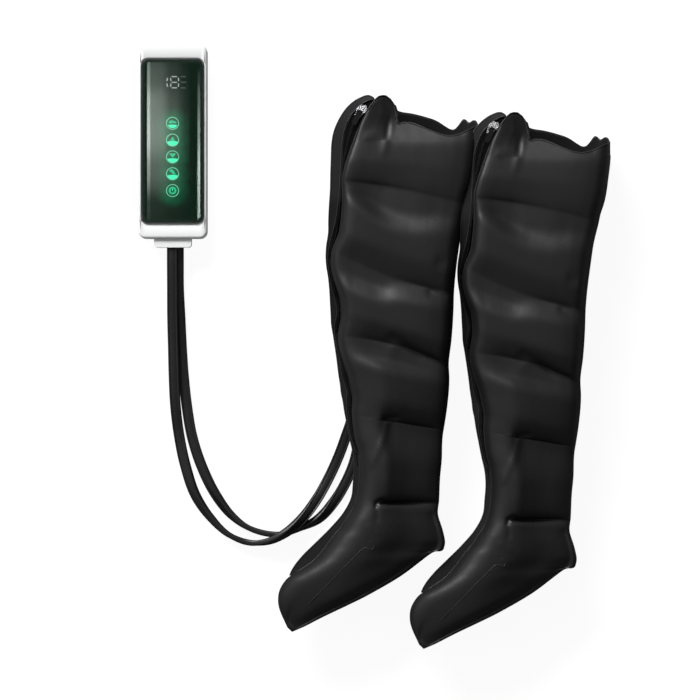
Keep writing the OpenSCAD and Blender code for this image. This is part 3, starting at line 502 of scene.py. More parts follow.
def fade(source, stops):
    """Level along one axis: stops are (place, level) pairs, joined smoothly."""
    low, high = stops[0][0], stops[-1][0]
    ramp = add_node(tree, "ShaderNodeValToRGB", {"Fac": ranged(tree, source, 0.0, 1.0, low, high)})
    points = ramp.color_ramp.elements
    ramp.color_ramp.interpolation = "EASE"
    points[0].position, points[0].color = 0, (stops[0][1],) * 3 + (1,)
    points[1].position, points[1].color = 1, (stops[-1][1],) * 3 + (1,)
    for at, level in stops[1:-1]:
        points.new((at - low) / (high - low)).color = (level, level, level, 1)
    return ramp.outputs["Color"]


# Two bright slits: the level across each one, and down its length
slits = [
    ([(-0.70, 0), (-0.683, 0), (-0.680, 1), (-0.675, 0.95), (-0.670, 0.34), (-0.645, 0.3), (-0.60, 0.11),
      (-0.555, 0.02), (-0.54, 0.0)],
     [(0.36, 0.03), (0.46, 0.06), (0.56, 0.45), (0.68, 1), (0.78, 0.85), (0.86, 0.4), (0.95, 0.16)]),
    ([(-0.53, 0), (-0.523, 0), (-0.519, 0.8), (-0.511, 1), (-0.507, 0), (-0.50, 0)],
     [(0.36, 0.5), (0.44, 0.8), (0.58, 1), (0.68, 0.5), (0.80, 0.2), (0.86, 0.05), (0.9, 0)])]
slit_power = 16.0
level = 0.0
for across, down in slits:
    slit = reckon(tree, "MULTIPLY", fade(axes.outputs["X"], across), fade(axes.outputs["Y"], down))
    level = reckon(tree, "ADD", level, slit)
shine = add_node(tree, "ShaderNodeEmission", {
    "Color": (0.86, 1.0, 0.9, 1), "Strength": reckon(tree, "MULTIPLY", level, slit_power)})
add_node(tree, "ShaderNodeOutputMaterial", {"Surface": shine.outputs[0]})
card_mesh.materials.append(card_material)
card.visible_camera = False
card.visible_diffuse = False
card.visible_shadow = False
card.visible_transmission = False


# Hose plug. A white block that both hoses are moulded into; its nose goes into
# the controller's socket. The hollow nose keeps its CAD solid.
dress("hose_plug", white_plastic)


# Air hoses. Each is a flat extrusion of black rubber with two air ways and a
# raised bead along each edge. They leave the plug on top of each other, hang
# in a wide bend on the floor and go under the first boot to the two inlets.
hose_w, hose_t = 16 * MM, 8.4 * MM
hose_steps = 8
plug_length = 13 * MM
plug_end = (low_end - fit_gap - plug_length) / MM
# Each point: across, along, lift off the floor, and degrees of roll
left_route = [
    (-303, plug_end, 22.8, 0), (-303, 128, 22, 0), (-303, 88, 19, 0), (-303, 44, 15, 0), (-302, 0, 12, 0),
    (-301, -44, 10.5, 0), (-299, -88, 7, 0), (-294, -132, 0, 0), (-284, -180, 0, 15), (-268, -226, 0, 40),
    (-246, -258, 0, 65), (-218, -284, 0, 85), (-184, -296, 0, 90), (-158, -293, 9, 75),
    (-134, -281, 17.5, 55), (-110, -261, 17, 30), (-88, -233, 7, 10), (-69, -200, 0, 0),
    (-53, -165, 0, 0), (-42, -135, 5, 0), (-34, -110, 10, 0), (-33, -80, 10, 0), (-40, -40, 10, 0),
    (-48, 5, 10, 0), (-54, 50, 10, 0), (-58, 100, 10, 0), (-59, 145, 10, 0), (-56, 186, 11, 0),
    (-53, 214, 15, 0), (-46, 236, 18, 0), (-36, 249, 20, 0), (-25, 252, 20, 0)]
right_route = [
    (-294, plug_end, 12.8, 0), (-294, 128, 12, 0), (-294, 88, 8, 0), (-292, 44, 3, 0), (-290, 0, 0, 0),
    (-287, -44, 0, 0), (-282, -90, 0, 0), (-274, -136, 0, 0), (-259, -182, 0, 15), (-238, -224, 0, 40),
    (-216, -253, 0, 65), (-193, -271, 0, 85), (-166, -281, 0, 90), (-138, -283, 0, 90),
    (-110, -273, 0, 80), (-84, -260, 0, 50), (-60, -234, 0, 15), (-42, -204, 0, 0), (-29, -172, 0, 0),
    (-23, -140, 0, 0), (-23, -110, 0, 0), (-32, -75, 0, 0), (-41, -35, 0, 0), (-48, 10, 0, 0),
    (-55, 60, 0, 0), (-58, 110, 0, 0), (-58, 155, 0, 0), (-55, 195, 0, 0), (-47, 228, 0, 0),
    (-30, 245, 0, 0), (-8, 248, 0, 0), (30, 243, 0, 0), (75, 234, 0, 0), (115, 227, 0, 0),
    (138, 225, 4, 0), (157, 226, 13, 0), (172.5, 226, 20, 0)]


def smooth_through(knots, values, at):
    """Cubic curve through values at knots, without overshoot in its slopes."""
    knots, values, at = np.asarray(knots, float), np.asarray(values, float), np.asarray(at, float)
    gaps = np.diff(knots)
    slopes = np.diff(values) / gaps
    inner = (slopes[:-1] * gaps[1:] + slopes[1:] * gaps[:-1]) / (gaps[:-1] + gaps[1:])
    tangents = np.concatenate([[slopes[0]], inner, [slopes[-1]]])
    i = np.clip(np.searchsorted(knots, at, side="right") - 1, 0, len(gaps) - 1)
    h = gaps[i]
    t = np.clip((at - knots[i]) / h, 0, 1)
    return ((2 * t**3 - 3 * t**2 + 1) * values[i] + (t**3 - 2 * t**2 + t) * h * tangents[i]
            + (3 * t**2 - 2 * t**3) * values[i + 1] + (t**3 - t**2) * h * tangents[i + 1])


def unit(vectors):
    """The same directions, each of length one."""
    return vectors / np.linalg.norm(vectors, axis=-1, keepdims=True)


def stations(points, steps):
    """Distances along a line of points: at the points, and in even steps between them."""
    knots = np.concatenate([[0], np.cumsum(np.linalg.norm(np.diff(points, axis=0), axis=1))])
    between_knots = [np.linspace(a, b, steps, endpoint=False) for a, b in zip(knots[:-1], knots[1:])]
    return knots, np.concatenate(between_knots + [[knots[-1]]])


def hose_path(route):
    """Centreline points and roll angles, close together, in metres."""
    route = np.array(route, float)
    roll = np.radians(route[:, 3])
    rest = np.hypot(hose_w / 2 * np.sin(roll), hose_t / 2 * np.cos(roll))
    knots, at = stations(route[:, :2], hose_steps)
    columns = (route[:, 0] * MM, route[:, 1] * MM, rest + (route[:, 2] + 0.1) * MM)
    line = np.stack([smooth_through(knots, column, at) for column in columns], axis=1)
    return line, smooth_through(knots, roll, at)


def hose_profile():
    """Flat body with a raised bead along each edge and a narrow channel beside it."""
    quarter_line = [(8, 0.9), (7.9, 2.0), (7.55, 3.0), (7.0, 3.8), (6.4, 4.15), (5.8, 4.1), (5.35, 3.6),
                    (4.9, 3.15), (4.3, 3.3), (3.4, 3.6), (2, 3.8), (0.6, 3.85)]
    upper = quarter_line + [(-x, z) for x, z in reversed(quarter_line)]
    ring = np.array(upper + [(-x, -z) for x, z in upper]) * MM
    return ring[:, 0], ring[:, 1]


hose_rubber, tree, hose_shader = node_material("glossy_black_hose")
cloud = noise(tree, add_node(tree, "ShaderNodeTexCoord").outputs["Object"], 60.0, 4.0)
feed(tree, hose_shader, {
    "Base Color": between(tree, cloud, (0.004, 0.004, 0.004), (0.009, 0.009, 0.009)), "Roughness": 0.42})


def hose_piece(name, route, node_name):
    """One hose: its profile carried along its path, with its roll."""
    line, roll = hose_path(route)
    direction = unit(np.gradient(line, axis=0))
    direction[0] = (0, -1, 0)
    side = unit(np.cross((0, 0, 1), direction))
    above = np.cross(direction, side)
    across, up = hose_profile()
    c, s = np.cos(roll)[:, None, None], np.sin(roll)[:, None, None]
    u, v = across[None, :, None], up[None, :, None]
    rings = line[:, None] + side[:, None] * (u * c - v * s) + above[:, None] * (u * s + v * c)
    points, faces = skin_of([ring[::-1] for ring in rings])
    piece = piece_from(name, points, faces, hose_rubber)
    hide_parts(node_name)
    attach(piece, "boots")


hose_piece("hose_to_left_boot", left_route, "hose_left")
hose_piece("hose_to_right_boot", right_route, "hose_right")
for node_name in ("left_air_inlet", "right_air_inlet"):
    dress(node_name, seal_rubber)


# Boot cloth. Each boot is one sleeve of coated nylon, welded across into air
# chambers, open along the zipper and closed round the foot. It is blown up, so
# each chamber stands as a pillow between welds that pull the two skins together.
boot_places = {"left": np.array([39, -320.5]) * MM, "right": np.array([236.5, -346]) * MM}
mid_z, front_rise, crown_up = 60.0, 36.0, 57.0
lip, leg_up, leg_down, wall_share = 1.3, 14.0, 20.0, 0.1
rim_wall, skin_gap = 3.0, 2.5
weld_front_y = [630, 570, 465, 335, 217, 85]
weld_back_y = [632, 534, 400, 291, 194, 87]
front_border = np.array([
    (-51, 672), (-60.5, 654), (-66, 638.3), (-75, 613.5), (-83, 588.8), (-86.3, 568.5), (-86, 559.5),
    (-86.3, 532.5), (-88.5, 508), (-91.2, 490.5), (-98, 474), (-102, 463.5), (-103.2, 452), (-102.6, 438),
    (-98, 417.9), (-91.2, 397.8), (-88.5, 380.4), (-88.5, 361.5), (-91.2, 348.2), (-92.5, 334.8),
    (-90.6, 318.8), (-83.9, 295.5), (-77, 273.2), (-74.4, 261), (-71, 243.9), (-71.6, 223.2), (-70, 201),
    (-66.6, 180.2), (-62.3, 164.7), (-60.6, 140.6), (-61.5, 114.8), (-66, 90), (-68.5, 82)])[::-1]
back_border = np.array([
    (118.5, 652), (118.8, 636.5), (115.2, 598.5), (108.9, 561), (103, 543), (101.5, 535.5), (93, 499.5),
    (89, 472.5), (82.5, 420), (81, 400), (80.4, 378), (77.3, 330), (73.2, 294), (74.1, 273), (71, 231),
    (66.5, 201), (64.5, 189), (62.5, 147), (60.5, 127.5), (58.4, 85), (58, 80)])[::-1]
foot_top = np.array([
    (-67.8, 85), (-71.5, 76), (-80, 63.5), (-90, 48), (-99, 37.8), (-106, 28.5), (-112, 20), (-118, 12.5),
    (-123, 6.5), (-130, -0.5), (-143, -10), (-157, -19), (-170, -28), (-180, -43), (-183, -58),
    (-180.5, -75), (-169, -101)])
foot_sole = np.array([
    (58.4, 87), (57, 69), (63.6, 47.3), (67.5, 30), (66.8, 21), (64.5, 15.2), (60, 13.1), (54.5, 13),
    (48.5, 11), (38.7, 4.2), (0.5, -24.5), (-45.5, -51.3), (-76, -66.6), (-114.3, -84.8), (-140, -98),
    (-152, -103.5), (-162, -107.7)])
crown_share_at = [0, 0.7, 1.5, 2.5, 3.5, 4.5, 5]
crown_share = [0.9, 0.98, 1, 0.98, 0.94, 0.92, 0.84]
foot_share_at = [-93, -40, 10, 60, 100, 135, 160, 178, 190, 197]
foot_share = [0.83, 0.82, 0.84, 0.8, 0.72, 0.58, 0.44, 0.32, 0.2, 0.08]
foot_way_x, foot_way_y = -0.86, -0.51
heel_from, heel_soft, heel_reach, heel_slope = 86, 6, 70, 0.14
rim_from, rim_soft, rim_back_x, lift_taken, least_rise = 629, 5, 118, 0.85, 0.3
far_rim_y, far_rim_x = [630, 651, 672, 684], [-79, -72, -62, -55]
toe_fade_from, toe_fade_over = -30, 150
fall_reach, groove_reach = 7, 4
evened_passes, evened_half = (22, 5, 5), 9
space_end, space_taper = 11.5, 20
rim_fold_at, rim_fold = [0, 0.15, 0.24, 0.3, 0.85, 0.95, 1], [0.05, 0.25, 0.5, 0.6, 0.58, 0.3, 0.2]
rim_up = [(0, 671), (0.053, 684), (0.107, 694.5), (0.142, 697.5), (0.19, 695.5), (0.24, 685.5), (0.285, 675),
          (0.3, 661), (0.36, 658.5), (0.42, 656.5), (0.53, 650), (0.65, 641), (0.8, 636.9), (0.84, 639),
          (0.9, 643.8), (0.97, 650), (1, 652)]
rim_down = [(0, 684), (0.25, 680), (0.333, 673.8), (0.45, 670.5), (0.56, 666), (0.67, 659.4), (0.75, 650.7),
            (0.785, 647.3), (0.82, 648.2), (0.85, 655), (0.875, 662), (0.93, 657.2), (0.985, 658), (1, 652)]
weld_bow = [0, 5, -8, 10, 0, 0]
# From the zipper's side to the calf's, each as (place across, amount): how far
# each pillow's crown lies under the highest one, how far each weld does, how
# deep the weld's own groove is, and how soon the next pillow rises
chamber_level = [
    [(0, 2), (1, 2)], [(0, -1), (1, -1)], [(0, 0), (0.8, 0), (1, 2)], [(0, 0), (0.5, 0), (0.8, 2), (1, 3)],
    [(0, 0), (0.33, 0), (0.46, 4), (0.64, 7), (1, 7)]]
foot_level = [(0, 0), (0.2, 0), (0.3, 1.5), (0.45, 4), (0.6, 7.5), (0.8, 12), (1, 16)]
weld_depth = [
    [(0, 2), (1, 2)],
    [(0, 3), (0.05, 6), (0.15, 11), (0.3, 13.5), (0.45, 11), (0.62, 8.5), (0.8, 9), (0.95, 8), (1, 6)],
    [(0, 3), (0.05, 7), (0.15, 10.5), (0.3, 11), (0.5, 11), (0.8, 12), (1, 8)],
    [(0, 3), (0.05, 5), (0.15, 7), (0.33, 12), (0.45, 12), (0.8, 12), (1, 9)],
    [(0, 2), (0.1, 3), (0.3, 5), (0.36, 10), (0.6, 14), (0.85, 15), (1, 12)],
    [(0, 0), (0.2, 0.5), (0.3, 3), (0.45, 6), (0.6, 10), (0.9, 14), (1, 13)]]
weld_groove = [
    [(0, 0), (1, 0)],
    [(0, 0), (0.1, 0.7), (0.3, 1.5), (0.7, 3), (0.9, 4), (1, 1)],
    [(0, 0), (0.5, 0), (0.8, 2), (1, 1)],
    [(0, 0), (0.2, 1.5), (0.45, 3), (0.8, 5), (1, 1)],
    [(0, 0), (0.2, 0.5), (0.34, 1), (0.37, 4), (0.5, 6), (0.9, 6), (1, 1)],
    [(0, 0), (0.23, 0), (0.27, 1), (0.3, 5), (0.9, 6), (1, 2)]]
rise_at = [
    [(0, 0), (1, 0)],
    [(0, 0.18), (0.15, 0.26), (0.3, 0.35), (0.45, 0.385), (0.6, 0.37), (0.77, 0.3), (0.9, 0.25), (1, 0.2)],
    [(0, 0.31), (0.2, 0.31), (0.4, 0.3), (0.55, 0.2), (0.75, 0.15), (1, 0.12)],
    [(0, 0.2), (0.3, 0.26), (0.5, 0.28), (0.8, 0.25), (1, 0.2)],
    [(0, 0.3), (1, 0.3)],
    [(0, 0.3), (1, 0.3)]]
rise_half = [0.1, 0.13, 0.17, 0.115, 0.25, 0.2]
below_share = [1, 0.3, 0.6, 0.5, 0.1]
# Height round the section at the mouth, upper leg, lower leg and foot
section_at = [0, 0.05, 0.1, 0.15, 0.2, 0.27, 0.33, 0.4, 0.48, 0.55, 0.65, 0.75, 0.83, 0.9, 0.95, 1]
sections = np.array([
    [0, 0.66, 0.87, 0.95, 0.98, 0.99, 0.998, 1, 1, 0.998, 0.985, 0.94, 0.85, 0.64, 0.38, 0],
    [0, 0.40, 0.68, 0.86, 0.945, 0.985, 0.998, 1, 1, 0.998, 0.985, 0.94, 0.85, 0.64, 0.38, 0],
    [0, 0.34, 0.54, 0.67, 0.77, 0.88, 0.95, 1, 0.93, 0.83, 0.70, 0.56, 0.43, 0.31, 0.2, 0],
    [0, 0.24, 0.48, 0.65, 0.79, 0.92, 0.98, 1, 0.995, 0.98, 0.94, 0.87, 0.78, 0.64, 0.46, 0]])
half_steps = 72
turn = np.linspace(0, math.pi, half_steps + 1)
across_s = (1 - np.cos(turn)) / 2


def table(pairs, at):
    """Amounts between (place, amount) pairs."""
    pairs = np.array(pairs, float)
    return smooth_through(pairs[:, 0], pairs[:, 1], at)


def border_x(border, y):
    """How far out a border of the leg lies at a height of the leg."""
    return smooth_through(border[:, 1], border[:, 0], np.clip(y, border[0, 1], border[-1, 1]))


def middle(s, y):
    """Height of the surface between the panels; the upper leg's front is raised."""
    lifted = front_rise * np.interp(y, [340, 400, 471, 540], [0, 0.25, 0.7, 1])
    return mid_z + lifted * (1 - s) ** 3


def leg_plan(v, s):
    """Plan place in the leg: v counts welds from the mouth, s runs front to back."""
    front_y, back_y = np.interp(v, range(6), weld_front_y), np.interp(v, range(6), weld_back_y)
    x = border_x(front_border, front_y) * (1 - s) + border_x(back_border, back_y) * s
    y = front_y * (1 - s) + back_y * s + np.interp(v, range(6), weld_bow) * 4 * s * (1 - s)
    return x, y


def foot_plan(t, s):
    """Plan place in the foot: t counts the points of its two borders, s runs across."""
    line = [smooth_through(np.arange(len(foot_top)), column, t) for column in (*foot_top.T, *foot_sole.T)]
    return line[0] * (1 - s) + line[2] * s, line[1] * (1 - s) + line[3] * s


def section(v):
    """Share of the height round the section, at every column."""
    kind = np.interp(v, [0, 0.7, 1.3, 2.7, 4.1, 5, 7, 30], [0, 0, 1, 1, 2, 2, 3, 3])
    low = int(min(kind, 2))
    shape = sections[low] * (1 - kind + low) + sections[low + 1] * (kind - low)
    return smooth_through(section_at, shape, turn / math.pi)


def smooth_step(value):
    """A step from 0 to 1 with soft ends."""
    value = np.clip(value, 0, 1)
    return value * value * (3 - 2 * value)


def past(value, soft):
    """How far a value is past zero, with a soft start."""
    return soft * np.logaddexp(0, value / soft)


def chamber_drop(v, s):
    """How far the skin lies under its crown near the welds, in millimetres."""
    k = int(min(v, 4))
    t = v - k
    reach = (weld_front_y[k] * (1 - s) + weld_back_y[k] * s
             - weld_front_y[k + 1] * (1 - s) - weld_back_y[k + 1] * s)
    level = table(chamber_level[k], s)
    start, end = table(weld_depth[k], s) - level, table(weld_depth[k + 1], s) - level
    rise = 1 - smooth_step((t - table(rise_at[k], s) + rise_half[k]) / (2 * rise_half[k]))
    sharp = table([(0, 0.1), (0.4, 0.25), (1, 0.45)], s)
    fall = (1 - sharp) * smooth_step((t - 0.7) / 0.3) + sharp * np.exp(-(1 - t) * reach / fall_reach)
    groove_start = below_share[k] * table(weld_groove[k], s) * np.exp(-t * reach / groove_reach)
    groove_end = table(weld_groove[k + 1], s) * np.exp(-(1 - t) * reach / groove_reach)
    return level + start * rise + end * fall + (groove_start + groove_end)


def spread(count, crowd=0.75):
    """Places from 0 to 1 that crowd together at both ends."""
    u = np.linspace(0, 1, count, endpoint=False)
    return u - crowd * np.sin(2 * np.pi * u) / (2 * np.pi)


pillow_rows = (18, 30, 30, 28, 30)
leg_rows = np.concatenate([k + spread(n) for k, n in enumerate(pillow_rows)] + [[5]])
foot_rows = np.concatenate([np.linspace(*span)[1:] for span in ((0, 3, 16), (3, 10, 36), (10, 16, 26))])
cuff_rows = np.linspace(1, 0, 11)[:-1]
first_leg, first_foot = len(cuff_rows), len(cuff_rows) + len(leg_rows)
weld_rows = first_leg + np.cumsum(pillow_rows)


def skin_rows(upper):
    """Outer skin of the upper or lower panel: rows from rim to toe, in millimetres."""
    side, s = (1 if upper else -1), across_s
    reach = crown_up if upper else mid_z + 0.5
    fold = np.interp(s, rim_fold_at, rim_fold) if upper else 0.25

    def row(x, y, height, v):
        over = past(y - rim_from, rim_soft) * fold
        lift = (middle(s, y) - mid_z) * lift_taken if upper else 0
        rise = np.maximum(height - lift - over, least_rise * height) * section(v)
        z = middle(s, y) + side * (lip * (1 - s) + rise)
        return np.stack([x, y, np.maximum(z, 0)], axis=1)

    rows = []
    for share in cuff_rows:
        y = leg_plan(np.zeros_like(s), s)[1] * (1 - share) + table(rim_up if upper else rim_down, s) * share
        front = border_x(front_border, np.minimum(y, rim_up[0][1])) if upper else \
            np.interp(y, far_rim_y, far_rim_x)
        x = front * (1 - s) + rim_back_x * s
        rows.append(row(x, y, reach * crown_share[0] - table(weld_depth[0], s), 0))
    for v in leg_rows:
        x, y = leg_plan(np.full_like(s, v), s)
        rows.append(row(x, y, reach * np.interp(v, crown_share_at, crown_share) - chamber_drop(v, s), v))
    for t in foot_rows:
        x, y = foot_plan(np.full_like(s, t), s)
        along_foot = foot_way_x * x + foot_way_y * y
        height = reach * smooth_through(foot_share_at, foot_share,
                                        np.clip(along_foot, foot_share_at[0], foot_share_at[-1]))
        heel = heel_slope * np.minimum(past(heel_from - y, heel_soft), heel_reach)
        level = table(foot_level, s) + heel * smooth_step((s - 0.4) / 0.3)
        toe_fade = 1 - smooth_step((along_foot - toe_fade_from) / toe_fade_over)
        drop = (level + table(weld_groove[5], s) * np.exp(-6 * t)) * toe_fade
        rows.append(row(x, y, height - drop, 5 + t))
    return np.array(rows)


def lining_rows(upper, outer):
    """Inner skin round the leg space, in the same rows."""
    side = 1 if upper else -1
    s_in = wall_share + (1 - 2 * wall_share) * across_s
    rows = []
    for i, row in enumerate(outer):
        if i < first_leg:
            rows.append(row + np.array([0, 0, -side * rim_wall]) * np.sin(turn)[:, None] ** 0.3
                        + np.array([1, 0, 0]) * (np.cos(turn) ** 5)[:, None] * rim_wall)
            continue
        in_foot = i >= first_foot
        t = min(foot_rows[i - first_foot], space_end) if in_foot else leg_rows[i - first_leg]
        x, y = (foot_plan if in_foot else leg_plan)(np.full_like(s_in, t), s_in)
        reach = (leg_up if upper else leg_down) * (1 - t / space_taper if in_foot else 1)
        z = middle(s_in, y) + side * (lip * (1 - across_s) + reach * np.sin(turn) ** 0.8)
        skin_z = np.interp(s_in, across_s, row[:, 2])
        z = np.minimum(z, skin_z - skin_gap) if upper else np.maximum(z, skin_z + skin_gap)
        rows.append(np.stack([x, y, z], axis=1))
    return np.array(rows)


def press(points, line, depth, above, below):
    """Sinks points along a line; above and below are the half widths on its two sides."""
    line = np.array(line, float)
    nearest, side = np.full(len(points), 1e9), np.zeros(len(points))
    for start, end in zip(line[:-1], line[1:]):
        along = end - start
        share = np.clip(((points[:, :2] - start) @ along) / (along @ along), 0, 1)
        off = points[:, :2] - start - share[:, None] * along
        far = np.linalg.norm(off, axis=1)
        closer = far < nearest
        nearest = np.where(closer, far, nearest)
        side = np.where(closer, along[0] * off[:, 1] - along[1] * off[:, 0], side)
    width = np.where(side > 0, above, below)
    points[:, 2] -= depth * np.exp(-(nearest / width) ** 2)


# Sharper folds beside the welds: line, depth, half width above and below it.
# A depth below zero is a small ridge.
folds = [
    ([(-18, 657), (-20, 634)], 3, 3, 3), ([(-30, 640), (-50, 635)], -1.5, 6, 5),
    ([(-24, 612), (-20, 634)], -1.2, 5, 5), ([(58, 446), (65, 445)], 3, 6, 6),
    ([(45, 402), (66, 394)], 3, 4, 5), ([(-13, 337), (6, 325.5), (30, 308), (67, 295)], 3.5, 3.5, 6),
    ([(-4, 324), (-19, 309)], -1, 7, 5), ([(-23, 211.5), (-14, 214), (-5, 214)], 3.5, 2.5, 3),
    ([(-20, 205), (-24, 182), (-36, 158), (-43, 146)], -2, 4, 4),
    ([(-36.3, 81), (-35, 87), (-28, 90.5), (-22, 89)], 3.5, 2.5, 2.5), ([(-24, 84), (55, 86)], 1.5, 4, 5),
    ([(-34, 79), (-34, 62)], 1.5, 4.5, 4.5), ([(-46, 50), (-33, 40)], -0.8, 4, 4)]


def even_out(skin, reach=6.0):
    """Evens the heel's and sole's heights with their neighbours in plan, where the rows crowd."""
    foot = skin[first_foot + 2:].reshape(-1, 3)
    share = smooth_step((across_s - 0.3) / 0.2) * smooth_step((0.985 - across_s) / 0.06)
    for k in range(first_foot + 4, len(skin) - 3):
        near = np.exp(-((skin[k][:, None, :2] - foot[None, :, :2]) ** 2).sum(axis=2) / (2 * reach ** 2))
        skin[k][:, 2] += (near @ foot[:, 2] / near.sum(axis=1) - skin[k][:, 2]) * share


def boot_mesh():
    """Points and faces of the closed double-walled sleeve, in its own place."""
    outer_up, outer_low = skin_rows(True), skin_rows(False)
    top = outer_up.reshape(-1, 3)
    for line, depth, above, below in folds:
        press(top, line, depth, above, below)
    outer_up = top.reshape(outer_up.shape)
    for skin in (outer_up, outer_low):
        even_out(skin)
        for weld, passes in zip(weld_rows, evened_passes):
            part = skin[weld - evened_half:weld + evened_half + 1, :, 2]
            for _ in range(passes):
                part[1:-1] = (part[:-2] + 2 * part[1:-1] + part[2:]) / 4
    inner_up, inner_low = lining_rows(True, outer_up), lining_rows(False, outer_low)
    outer = np.concatenate([outer_up, outer_low[:, -2::-1]], axis=1)
    inner = np.concatenate([inner_up, inner_low[:, -2::-1]], axis=1)
    rows, count = outer.shape[:2]
    slit_end = first_foot - 1
    points = np.concatenate([outer.reshape(-1, 3), inner.reshape(-1, 3)])
    shift = rows * count
    faces = []
    for i in range(rows - 1):
        for j in range(count if i >= slit_end else count - 1):
            k = (j + 1) % count
            a, b, c, d = i * count + j, i * count + k, (i + 1) * count + k, (i + 1) * count + j
            faces += [(a, d, c, b), (shift + a, shift + b, shift + c, shift + d)]
        if i < slit_end:
            a, b = i * count, (i + 1) * count
            faces.append((a, shift + a, shift + b, b))
            a, b = a + count - 1, b + count - 1
            faces.append((b, shift + b, shift + a, a))
    for j in range(count - 1):
        faces.append((j, j + 1, shift + j + 1, shift + j))
    low, high = slit_end * count, slit_end * count + count - 1
    faces.append((low, shift + low, shift + high, high))
    last = (rows - 1) * count
    faces.append(tuple(last + j for j in range(count))[::-1])
    faces.append(tuple(shift + last + j for j in range(count)))
    return points, faces, outer_up


boot_cloth, tree, cloth_shader = node_material("satin_black_coated_nylon")
place = add_node(tree, "ShaderNodeTexCoord").outputs["Object"]
woven = raised(tree, noise(tree, place, 700.0, 2.0), 0.1, 0.0002)
across_leg = add_node(tree, "ShaderNodeMapping", {
    "Vector": place, "Scale": (1.0, 0.45, 1.0), "Rotation": (0, 0, 0.25)})
slack = noise(tree, across_leg.outputs["Vector"], 45.0, 3.0, 0.45)
dark_cloth, light_cloth = (0.0085, 0.0078, 0.0078), (0.0135, 0.013, 0.014)
feed(tree, cloth_shader, {
    "Base Color": between(tree, noise(tree, place, 9.0, 4.0), dark_cloth, light_cloth),
    "Roughness": 0.46, "Specular IOR Level": 0.4, "Normal": raised(tree, slack, 0.35, 0.0016, Normal=woven)})


def traced(points, place_on_floor):
    """Points of a boot in metres, so that those nearer the camera show where they were traced."""
    points = np.array(points, float) * MM + [*place_on_floor, 0]
    eye = np.array(camera.location)
    nearer = (eye[2] - np.maximum(points[:, 2:], look_at_height)) / (eye[2] - look_at_height)
    points[:, :2] = eye[:2] + (points[:, :2] - eye[:2]) * nearer
    return points


boot_points, boot_faces, boot_top = boot_mesh()
for side, place_on_floor in boot_places.items():
    cloth = piece_from(side + "_boot_cloth", traced(boot_points, place_on_floor), boot_faces, boot_cloth)
    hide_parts(*[f"{side}_chamber_{k}" for k in range(1, 6)], side + "_foot_chamber", side + "_cuff")
    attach(cloth, "boots")


# Hems. The near panel's edge is folded over and welded into a thin cord that
# winds along the zipper and round the mouth; the far panel has one like it.
def thick_line(line, radius, sides=8, steps=4):
    """Rings round a smooth line through points, in millimetres, with both ends closed."""
    line = np.array(line, float)
    knots, at = stations(line, steps)
    path = np.stack([smooth_through(knots, column, at) for column in line.T], axis=1)
    direction = unit(np.gradient(path, axis=0))
    side = unit(np.cross(direction, (0, 0, 1)))
    above = np.cross(side, direction)
    turns = np.linspace(0, 2 * np.pi, sides, endpoint=False)
    slim = np.ones(len(path))
    slim[[0, -1]], slim[[1, -2]] = 0.3, 0.8
    rings = [p + radius * k * (np.cos(turns)[:, None] * a + np.sin(turns)[:, None] * b)
             for p, k, a, b in zip(path, slim, side, above)]
    return skin_of([ring[::-1] for ring in rings])


def joined(parts):
    """One list of points and faces from several."""
    points, faces = [], []
    for part_points, part_faces in parts:
        start = len(points)
        points += [tuple(p) for p in part_points]
        faces += [tuple(start + i for i in face) for face in part_faces]
    return np.array(points), faces


def at_border(x, y, up):
    """A point of the zipper's side, up above the surface between the panels."""
    return np.array([x, y, float(middle(0.0, y)) + up])


def border_line(rows, up):
    """A line of such points."""
    return [at_border(x, y, up) for x, y in rows]


near_hem = border_line(np.concatenate([front_border[::-1], foot_top[1:12]]), lip + 0.3)
near_rim = boot_top[0, ::4] + [0, 0, 0.3]
# The flap's outer edge and its edge at the zipper, both in plan
flap_rows = np.array([
    (-38.7, 693.3, -40, 691), (-46.8, 697, -44.4, 690.5), (-60, 693.3, -54.9, 686),
    (-71.3, 686.4, -63.9, 678), (-82.5, 675, -72, 670), (-92.4, 658.8, -79, 658), (-99, 642.6, -84, 644),
    (-102.2, 624.6, -87, 628), (-103, 605, -88.4, 605.1), (-103.8, 580, -89.5, 579.2),
    (-104.3, 556, -91, 555), (-106, 530, -93.8, 530), (-106.9, 508, -97, 508), (-107, 492, -101.2, 492),
    (-110, 471.5, -105.9, 471.5), (-110.8, 457, -108.2, 457), (-110, 441.9, -107.6, 441.9),
    (-107.3, 425, -105.4, 424), (-105.3, 404.4, -101.5, 404.4), (-104, 380.4, -95.5, 382),
    (-103.3, 368, -94.3, 372), (-102.6, 353.6, -98, 353), (-100.3, 340, -98, 340), (-97.2, 320, -95, 320),
    (-94.2, 299, -90.2, 299), (-91.7, 278.4, -87.4, 278.4), (-89, 261, -82.5, 261),
    (-88.2, 252.5, -79.5, 252.5), (-85.7, 240.5, -80, 240.5), (-83, 223.2, -79.6, 223.2),
    (-79.5, 205, -77.2, 203), (-74.8, 181, -72.4, 181), (-70, 159.5, -65, 158),
    (-68.4, 140.6, -62, 140.6), (-70, 116.4, -63.5, 114.8), (-72.3, 95.1, -66.5, 92),
    (-83.7, 72.2, -76, 70), (-102.9, 49.2, -93, 41.5), (-127.8, 24.3, -118, 11.5),
    (-146.9, 5.3, -137, -6), (-160.2, -12, -152, -17), (-166, -23, -160, -24)])
far_hem = border_line(flap_rows[:33, 2:], 1.1)
far_edge = border_line(flap_rows[:, :2], -1.6)


def on_skin(line):
    """A plan line, laid on the upper skin."""
    skin = boot_top.reshape(-1, 3)
    laid = []
    for x, y in line:
        far = (skin[:, 0] - x) ** 2 + (skin[:, 1] - y) ** 2
        near = np.argsort(far)[:4]
        weight = 1 / (far[near] + 0.2)
        laid.append((x, y, float((skin[near, 2] * weight).sum() / weight.sum())))
    return laid


